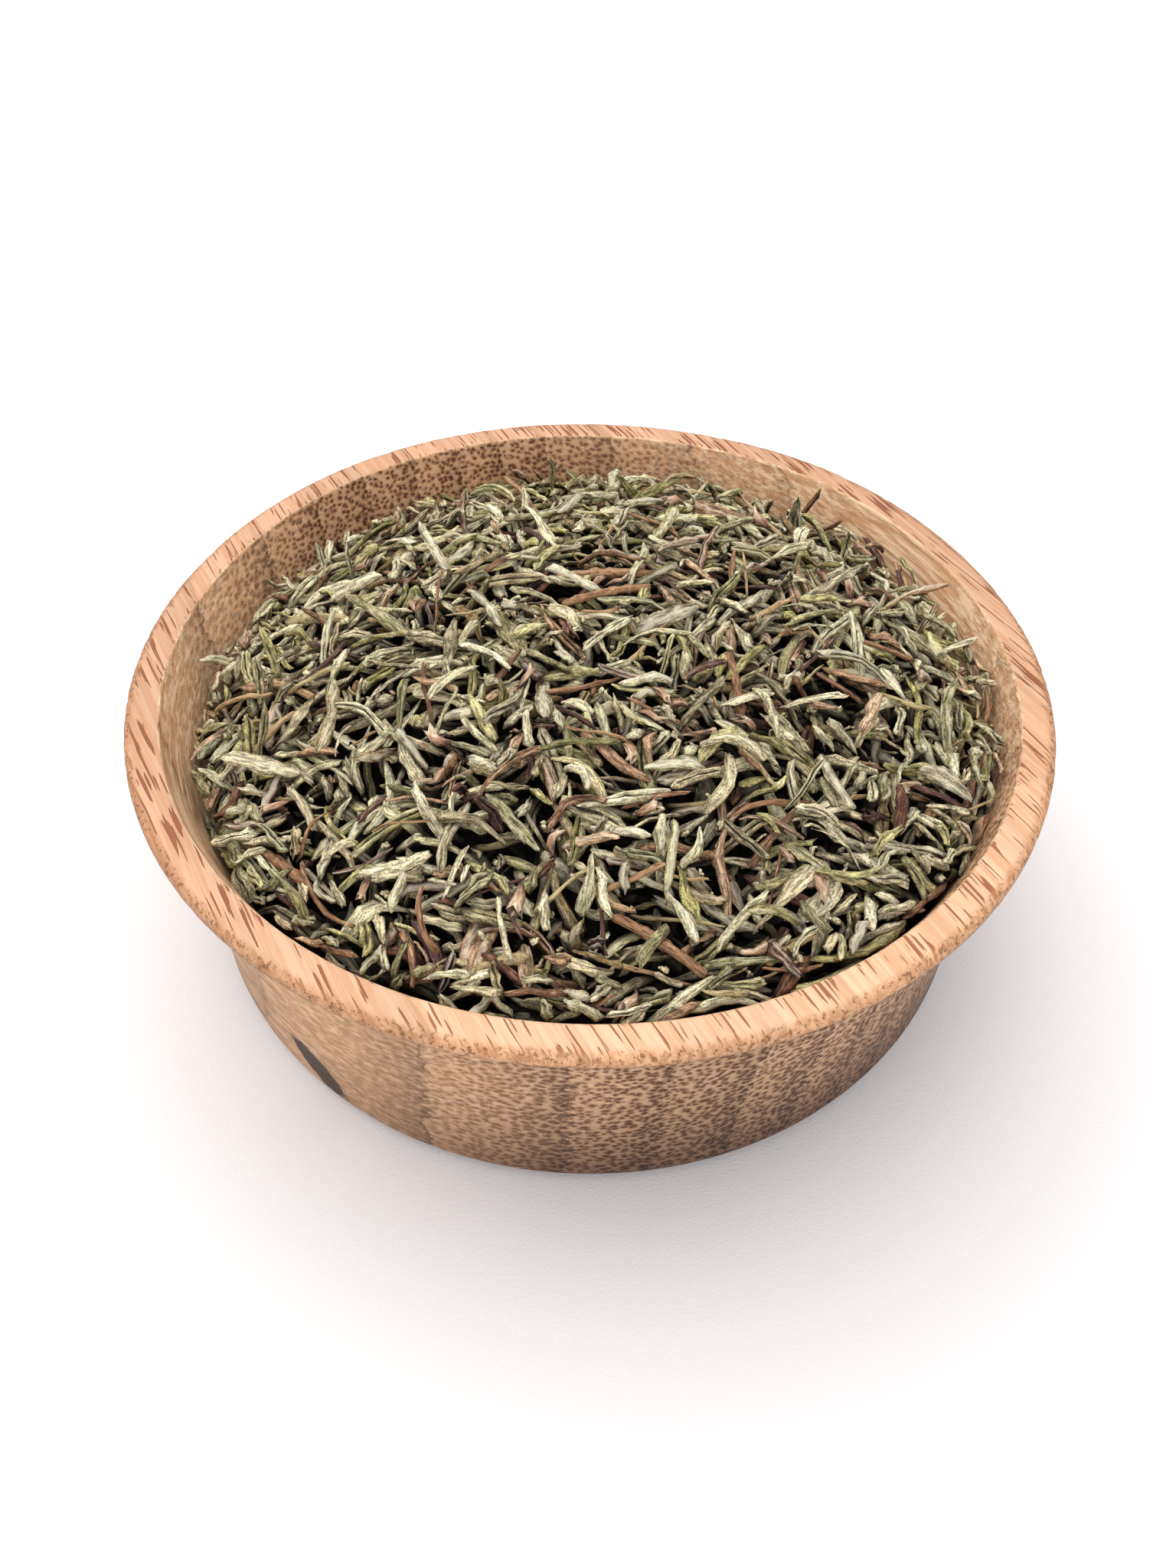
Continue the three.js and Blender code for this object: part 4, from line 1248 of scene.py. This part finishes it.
def dried_leaf():
    """Wrinkles and specks follow each leaf, through its place-on-leaf attribute. Its upper side is
    pale with hairs and a painted highlight, and its crease and underside are painted dark as shade."""
    material, tree, shader = new_material("dried_thyme_leaf")
    tint = node(tree, "Attribute", {"attribute_name": "tint"})["Fac"]
    own = node(tree, "Attribute", {"attribute_name": "leaf_place"})["Vector"]
    ridge = node(tree, "Attribute", {"attribute_name": "ridge"})["Fac"]
    buried = node(tree, "Attribute", {"attribute_name": "buried"})["Fac"]
    patch = node(tree, "TexNoise", None, {
        "Vector": own, "Scale": PATCHES_PER_MM, "Detail": 3})["Fac"]
    shifted = node(tree, "Math", TIMES_PLUS, (patch, 0.1, tint))["Value"]
    centred = node(tree, "Math", LESS, (shifted, 0.05))["Value"]
    colour = node(tree, "ValToRGB", None, (centred,), LEAF_SCALE)["Color"]
    wrinkle = drawn_out_noise(tree, own, WRINKLES_PER_MM, 4, 0.65)
    specks = node(tree, "TexNoise", None, {
        "Vector": own, "Scale": SPECKS_PER_MM, "Detail": 3, "Roughness": 0.7})["Fac"]
    rough = node(tree, "Math", TIMES_PLUS, (specks, 0.8, wrinkle))["Value"]
    top_light_and_wrinkles = node(tree, "Math", TIMES_PLUS, (wrinkle, 0.6, ridge))["Value"]
    level = node(tree, "MapRange", SMOOTH, (rough, 0.79, 1.03, 0.48, 2.02))["Result"]
    colour = node(tree, "Mix", GLAZE, {0: 1, 6: colour, 7: level})[2]
    # painted shade in the crease and on the underside
    crease = node(tree, "MapRange", SMOOTH, (top_light_and_wrinkles, 0.44, 0.9, 0.1, 1))["Result"]
    colour = node(tree, "Mix", GLAZE, {0: 1, 6: colour, 7: crease})[2]
    # pale felt and a painted highlight on the upper side
    felt_and_highlight = node(tree, "MapRange", SMOOTH, (top_light_and_wrinkles, 1.12, 1.42, 0, 0.5))["Result"]
    colour = node(tree, "Mix", LAYER, {0: felt_and_highlight, 6: colour, 7: "#f0ead4"})[2]
    speck = node(tree, "MapRange", SMOOTH, (specks, 0.54, 0.64, 0, 0.4))["Result"]
    colour = node(tree, "Mix", LAYER, {0: speck, 6: colour, 7: "#342b1c"})[2]
    # painted shade: leaves deep in the heap are painted nearly black
    colour = node(tree, "Mix", LAYER, {0: buried, 6: colour, 7: PAINTED_SHADE_LEAF})[2]
    bump = node(tree, "Bump", None, {
        "Height": rough, "Strength": 1, "Distance": 0.14 * MM})["Normal"]
    fill(tree, shader, {"Base Color": colour, "Roughness": 0.82, "IOR": PLANT_IOR,
                        "Specular IOR Level": 0.3, "Normal": bump})
    return material


# Air-dried leaf under a felt of fine hairs: the hairs scatter light, so the eye sees a grey bloom
# and hardly any shine. The bloom is laid on the upper sides together with a painted highlight, and
# the undersides and creases get painted shade.
leaf_finish = dried_leaf()
print("leaf:", leaf_finish.name)

# %% [markdown]
# ### The leaf pieces
# Thousands of leaves as objects of their own would be slow, so they are joined by colour into
# four pieces. Every leaf's points are turned and moved to where it came to rest in one go, and
# each point takes its depth in the heap with it.

# %% Leaf pieces
CEILING = 34.9  # a leaf with any point above this is left out
SPACING = 13.7  # mm of pattern between the stretches that two leaves use
# share of painted top light at a leaf's tips, and of the mouth at a cup's
TIP_TOP_LIGHT_AND_MOUTH = 0.5
SHADE_TOP = 0.08  # painted shade: leaves are painted darker from this far under the surface
SHADE_SLOPE = (0.14, 0.28)  # and from deeper on the right and at the back
SHADE_REACH = 1.7  # they are darkest this much deeper still
SHADE_POWER = 0.8
DARKEST = 0.98
# share of the leaves, then lowest and highest place on the colour scale
TINTS = ((0.04, 0.0, 0.05), (0.1, 0.06, 0.22), (0.59, 0.25, 0.66), (0.24, 0.66, 0.92),
         (0.03, 0.94, 1.0))
LEAF_GROUPS = (("thyme_leaves_brown", 0.0, 0.3), ("thyme_leaves_khaki", 0.3, 0.5),
               ("thyme_leaves_grey_green", 0.5, 0.68), ("thyme_leaves_olive", 0.68, 1.01))


def with_tips(grid, push):
    """Adds two tips, the mean of each end ring pushed out along the leaf."""
    tips = np.stack([grid[:, 0].mean(axis=1) - push, grid[:, -1].mean(axis=1) + push], axis=1)
    return np.concatenate([grid.reshape(len(grid), -1, 3), tips], axis=1)


def lay_down(grids, leaves, fall):
    """The points of all leaves where they lie, their places on the leaf, each point's share of
    painted top light, which on a cup is its share towards the mouth, how deep it is buried, which
    paints it darker as shade, and which leaves are kept."""
    placed, own, ridge = grids
    turns, places, used = fall
    push = (1 - RING_ALONG[-1]) * leaves["length"][:, None] / 2 * np.array([1.0, 0, 0])
    placed, own = with_tips(placed, push), with_tips(own, push)
    ridge = np.append(ridge.reshape(len(ridge), -1), np.full((len(ridge), 2), TIP_TOP_LIGHT_AND_MOUTH), axis=1)
    laid = np.einsum("nij,npj->npi", turns, placed) + places[:, None]
    own[..., 0] += np.arange(len(own))[:, None] * SPACING
    under = target[cell_at(laid[..., 0], laid[..., 1])] - laid[..., 2]
    shade = SHADE_TOP + laid[..., :2] @ SHADE_SLOPE / HEAP_RIM
    buried = np.clip((under - shade) / SHADE_REACH, 0, 1) ** SHADE_POWER * DARKEST
    return laid, own, ridge, buried, used & (laid[..., 2].max(axis=1) < CEILING)


def heap_piece(name, laid_down, chosen, tint, material, slot):
    """One piece from the chosen leaves, each of one tint."""
    laid, own, ridge, buried = (values[chosen] for values in laid_down[:4])
    piece = make_mesh(name, laid.reshape(-1, 3) * MM,
                      tube_faces(len(laid), LEAF_RINGS, LEAF_SIDES), material)
    print(f"{len(laid)} of them go into {name}")
    finish_piece(piece, "thyme_mound", slot, tint=np.repeat(tint[chosen], laid.shape[1]),
                 leaf_place=own, ridge=ridge, buried=buried)


laid_leaves = lay_down(leaf_grids(leaves, leaf_random), leaves, leaf_fall)
count = len(laid_leaves[0])
kind = leaf_random.choice(len(TINTS), count, p=[share for share, _, _ in TINTS])
tint = np.choose(kind, [leaf_random.uniform(low, high, count) for _, low, high in TINTS])
tint[-len(hand_fall[2]):] = np.append(FLAT_LEAVES[:, 8], STANDING[:, 7])
for name, low, high in LEAF_GROUPS:
    chosen = laid_leaves[4] & (tint >= low) & (tint < high)
    heap_piece(name, laid_leaves, chosen, tint, leaf_finish, "thyme_leaf")

laid_twigs = lay_down(leaf_grids(twigs, leaf_random), twigs, twig_fall)
twig_tint = leaf_random.choice([0.1, 0.3, 0.45, 0.6, 0.75, 1.0], TWIGS)
heap_piece("thyme_twigs", laid_twigs, laid_twigs[4], twig_tint, bark, "thyme_stem")

# %% [markdown]
# ### Calyces
# Between the leaves lie dry flower cups: ribbed tubes 2 to 3 mm long, rose-brown at the foot and
# paler at the mouth, which ends in teeth. Each uses the same number of rings as a leaf. The
# first five go up the outside to the teeth and the last two go back down inside.

# %% Calyx shapes
CUP_ALONG = np.array([-1.0, -0.8, -0.3, 0.35, 0.9, 0.75, 0.1])
CUP_RADIUS = np.array([0.3, 0.5, 0.85, 0.8, 1.15, 0.95, 0.4])
MOUTH_RING = 4
RIB = 0.12
TOOTH = (0.32, -0.12)  # how far a tooth and the notch beside it stand out and in


def calyx_grids(cups, random):
    """Radius * cup profile * (1 + 0.12 cos 4 angle) for the ribs. Every second corner of the
    mouth's ring is pushed out along the cup as a tooth."""
    column = {name: value[:, None, None] for name, value in cups.items()}
    ring, step = np.arange(LEAF_RINGS)[:, None], np.arange(LEAF_SIDES)
    along = CUP_ALONG[None, :, None] + np.zeros((len(cups["length"]), 1, LEAF_SIDES))
    along = along + np.where(step % 2 == 0, *TOOTH) * (ring == MOUTH_RING)
    along = along + random.normal(0, 0.03, along.shape)
    angle = step * 2 * pi / LEAF_SIDES
    size = CUP_RADIUS[:, None] * (1 + RIB * np.cos(4 * angle)) * random.normal(1, 0.08, along.shape)
    side = 0.5 * column["width"] * size * np.cos(angle)
    rise = 0.5 * column["thick"] * size * np.sin(angle)
    own = np.stack([along * column["length"] / 2, side, rise], axis=-1)
    bent = np.stack([0 * side, leaf_across(column, along), leaf_middle(column, along)], axis=-1)
    mouth = np.clip(0.5 + 0.5 * along, 0, 1) * (ring <= MOUTH_RING)
    return own + bent, own, mouth


print(f"a cup has {MOUTH_RING + 1} rings outside and {LEAF_RINGS - MOUTH_RING - 1} inside")

# %% [markdown]
# ### Calyx colours
# The attribute that carries a leaf's painted top light runs on a cup from its foot to its mouth, so
# it carries the change of colour, and noise drawn out along the cup breaks it up into ribs.

# %% Calyx material
CALYX_SCALE = ((0.0, "#4e382c"), (0.2, "#8a6650"), (0.45, "#a9886e"), (0.7, "#c4a68a"),
               (1.0, "#ddcdb0"))
RIBS_PER_MM = (0.9, 4.5, 4.5)  # 0.2 mm wide and 1.1 mm long


def dried_calyx():
    """Colour scale at mouth share + 2.2 * ribs - 1.15, painted darker as shade where the cup is
    buried.
    """
    material, tree, shader = new_material("dried_thyme_calyx")
    mouth = node(tree, "Attribute", {"attribute_name": "ridge"})["Fac"]
    own = node(tree, "Attribute", {"attribute_name": "leaf_place"})["Vector"]
    buried = node(tree, "Attribute", {"attribute_name": "buried"})["Fac"]
    ribs = drawn_out_noise(tree, own, RIBS_PER_MM, 4, 0.6)
    moved = node(tree, "Math", TIMES_PLUS, (ribs, 2.2, mouth))["Value"]
    place = node(tree, "Math", LESS, (moved, 1.15))["Value"]
    colour = node(tree, "ValToRGB", None, (place,), CALYX_SCALE)["Color"]
    colour = node(tree, "Mix", LAYER, {0: buried, 6: colour, 7: PAINTED_SHADE_LEAF})[2]
    bump = node(tree, "Bump", None, {
        "Height": ribs, "Strength": 1, "Distance": 0.12 * MM})["Normal"]
    fill(tree, shader, {
        "Base Color": colour, "Roughness": 0.75, "IOR": PLANT_IOR, "Normal": bump})
    return material


# Air-dried petal-thin tissue: papery, so the eye sees it a little smoother than the leaves.
laid_cups = lay_down(calyx_grids(calyces, leaf_random), calyces, calyx_fall)
heap_piece("thyme_calyces", laid_cups, laid_cups[4], np.zeros(CALYCES), dried_calyx(), "thyme_leaf")

# %% [markdown]
# ### The imported thyme below
# Under the loose leaves the bowl is full of thyme that nobody sees except as darkness between
# leaves. One rough dome stands for it, a little below the lowest loose leaf, and is painted nearly
# black as painted shade.

# %% Packed thyme
PACKED_RINGS = 60
PACKED_STEPS = 180
SKIRT_RINGS = 12
PACKED_CLEARANCE = 0.4  # the dome's edge stays this far inside the heap's
PACKED_RISE = 0.3
PACKED_ROUGH = 0.25


def packed_thyme():
    """A dome under the mound's surface and a skirt down the wall to the floor, closed by two
    poles."""
    share = np.linspace(0, 1, PACKED_RINGS + 1)[1:, None]
    angle = np.arange(PACKED_STEPS) * 2 * pi / PACKED_STEPS
    radius = share * (HEAP_RIM - PACKED_CLEARANCE)
    x, y = radius * np.cos(angle), radius * np.sin(angle)
    ring = np.arange(PACKED_RINGS)[:, None]
    rough = smooth_noise(angle, ring, seed=5, turns=(3, 40), rows_per_wave=14)
    top = mound_height(x, y) - FILL_DEPTH + PACKED_RISE + PACKED_ROUGH * rough
    dome = np.stack([x, y, top], axis=-1)[::-1]
    depth = np.linspace(0.1, 1, SKIRT_RINGS)[:, None]
    floor = FLOOR_THICKNESS / MM + GAP
    z = dome[:1, :, 2] * (1 - depth) + floor * depth
    wall = np.minimum(heap_radius(z + GAP), HEAP_RIM - PACKED_CLEARANCE)
    skirt = np.stack([wall * np.cos(angle), wall * np.sin(angle), z], axis=-1)
    grid = np.concatenate([skirt[::-1], dome])
    tips = np.array([[0, 0, floor], [0, 0, dome[-1, :, 2].mean()]])
    return np.concatenate([grid.reshape(-1, 3), tips]), len(grid)


packed_points, packed_rows = packed_thyme()
packed = make_mesh("packed_thyme", packed_points * MM,
                   tube_faces(1, packed_rows, PACKED_STEPS), leaf_finish)
# painted shade: the dome is painted nearly black
finish_piece(packed, "thyme_mound", "thyme_leaf",
             tint=0.2, leaf_place=packed_points, ridge=0.0, buried=0.93)

# %% [markdown]
# ## Floor and light
# The bowl stands on a large flat sheet of white paper. One broad soft light shines from above
# and behind, so the lip and the leaf ridges are bright, the wall that faces the viewer is a stop
# darker, and the only shadow is a soft pool round the base.

# %% Stage
FLOOR_HALF = 1.6
TOOTH_PER_METRE = 3500  # paper's tooth is about 0.1 mm wide, drawn at 0.3 mm so that it shows
AIM = (0, 0, 0.02)
KEY_SIZE = 0.9
KEY_PLACE = (-0.14, 0.2, 0.6)
KEY_WATTS = 6.0
FRONT_SIZE = 0.5
FRONT_PLACE = (0.1, -0.5, 0.35)
FRONT_WATTS = 1.6
SKY_STRENGTH = 0.7


def paper_floor():
    """One square of uncoated paper: its pressed fibres scatter light, so it looks evenly white
    and matt, with a faint tooth."""
    corners = np.array([[-1, -1, 0], [1, -1, 0], [1, 1, 0], [-1, 1, 0]]) * FLOOR_HALF
    material, tree, shader = new_material("matt_white_paper")
    place = node(tree, "TexCoord")["Object"]
    tooth = node(tree, "TexNoise", None, {
        "Vector": place, "Scale": TOOTH_PER_METRE, "Detail": 1})["Fac"]
    bump = node(tree, "Bump", None, {
        "Height": tooth, "Strength": 0.6, "Distance": 0.06 * MM})["Normal"]
    fill(tree, shader, {"Base Color": "#dfddde", "Roughness": 0.9,
                        "Specular IOR Level": 0.2, "Normal": bump})
    return make_mesh("paper_floor", corners, [np.array([[0, 1, 2, 3]])], material)


def soft_light(name, place, size, watts, colour):
    """A square area light turned to face the bowl."""
    data = bpy.data.lights.new(name, "AREA")
    data.size = size
    data.energy = watts
    data.color = linear(colour)[:3]
    lamp = bpy.data.objects.new(name, data)
    turned = (Vector(AIM) - Vector(place)).to_track_quat("-Z", "Y").to_matrix().to_4x4()
    lamp.matrix_world = Matrix.Translation(place) @ turned
    bpy.context.collection.objects.link(lamp)


paper_floor()
soft_light("window_light", KEY_PLACE, KEY_SIZE, KEY_WATTS, "#fffdfa")
soft_light("front_fill", FRONT_PLACE, FRONT_SIZE, FRONT_WATTS, "#fffaf5")
world = bpy.data.worlds.new("white_room")
world.use_nodes = True
fill(world.node_tree, world.node_tree.nodes["Background"].inputs,
     {"Color": "#f4f4f8", "Strength": SKY_STRENGTH})
bpy.context.scene.world = world
bpy.context.scene.view_settings.view_transform = "Standard"
print(f"floor {2 * FLOOR_HALF:.1f} m wide, key light {KEY_WATTS} W")
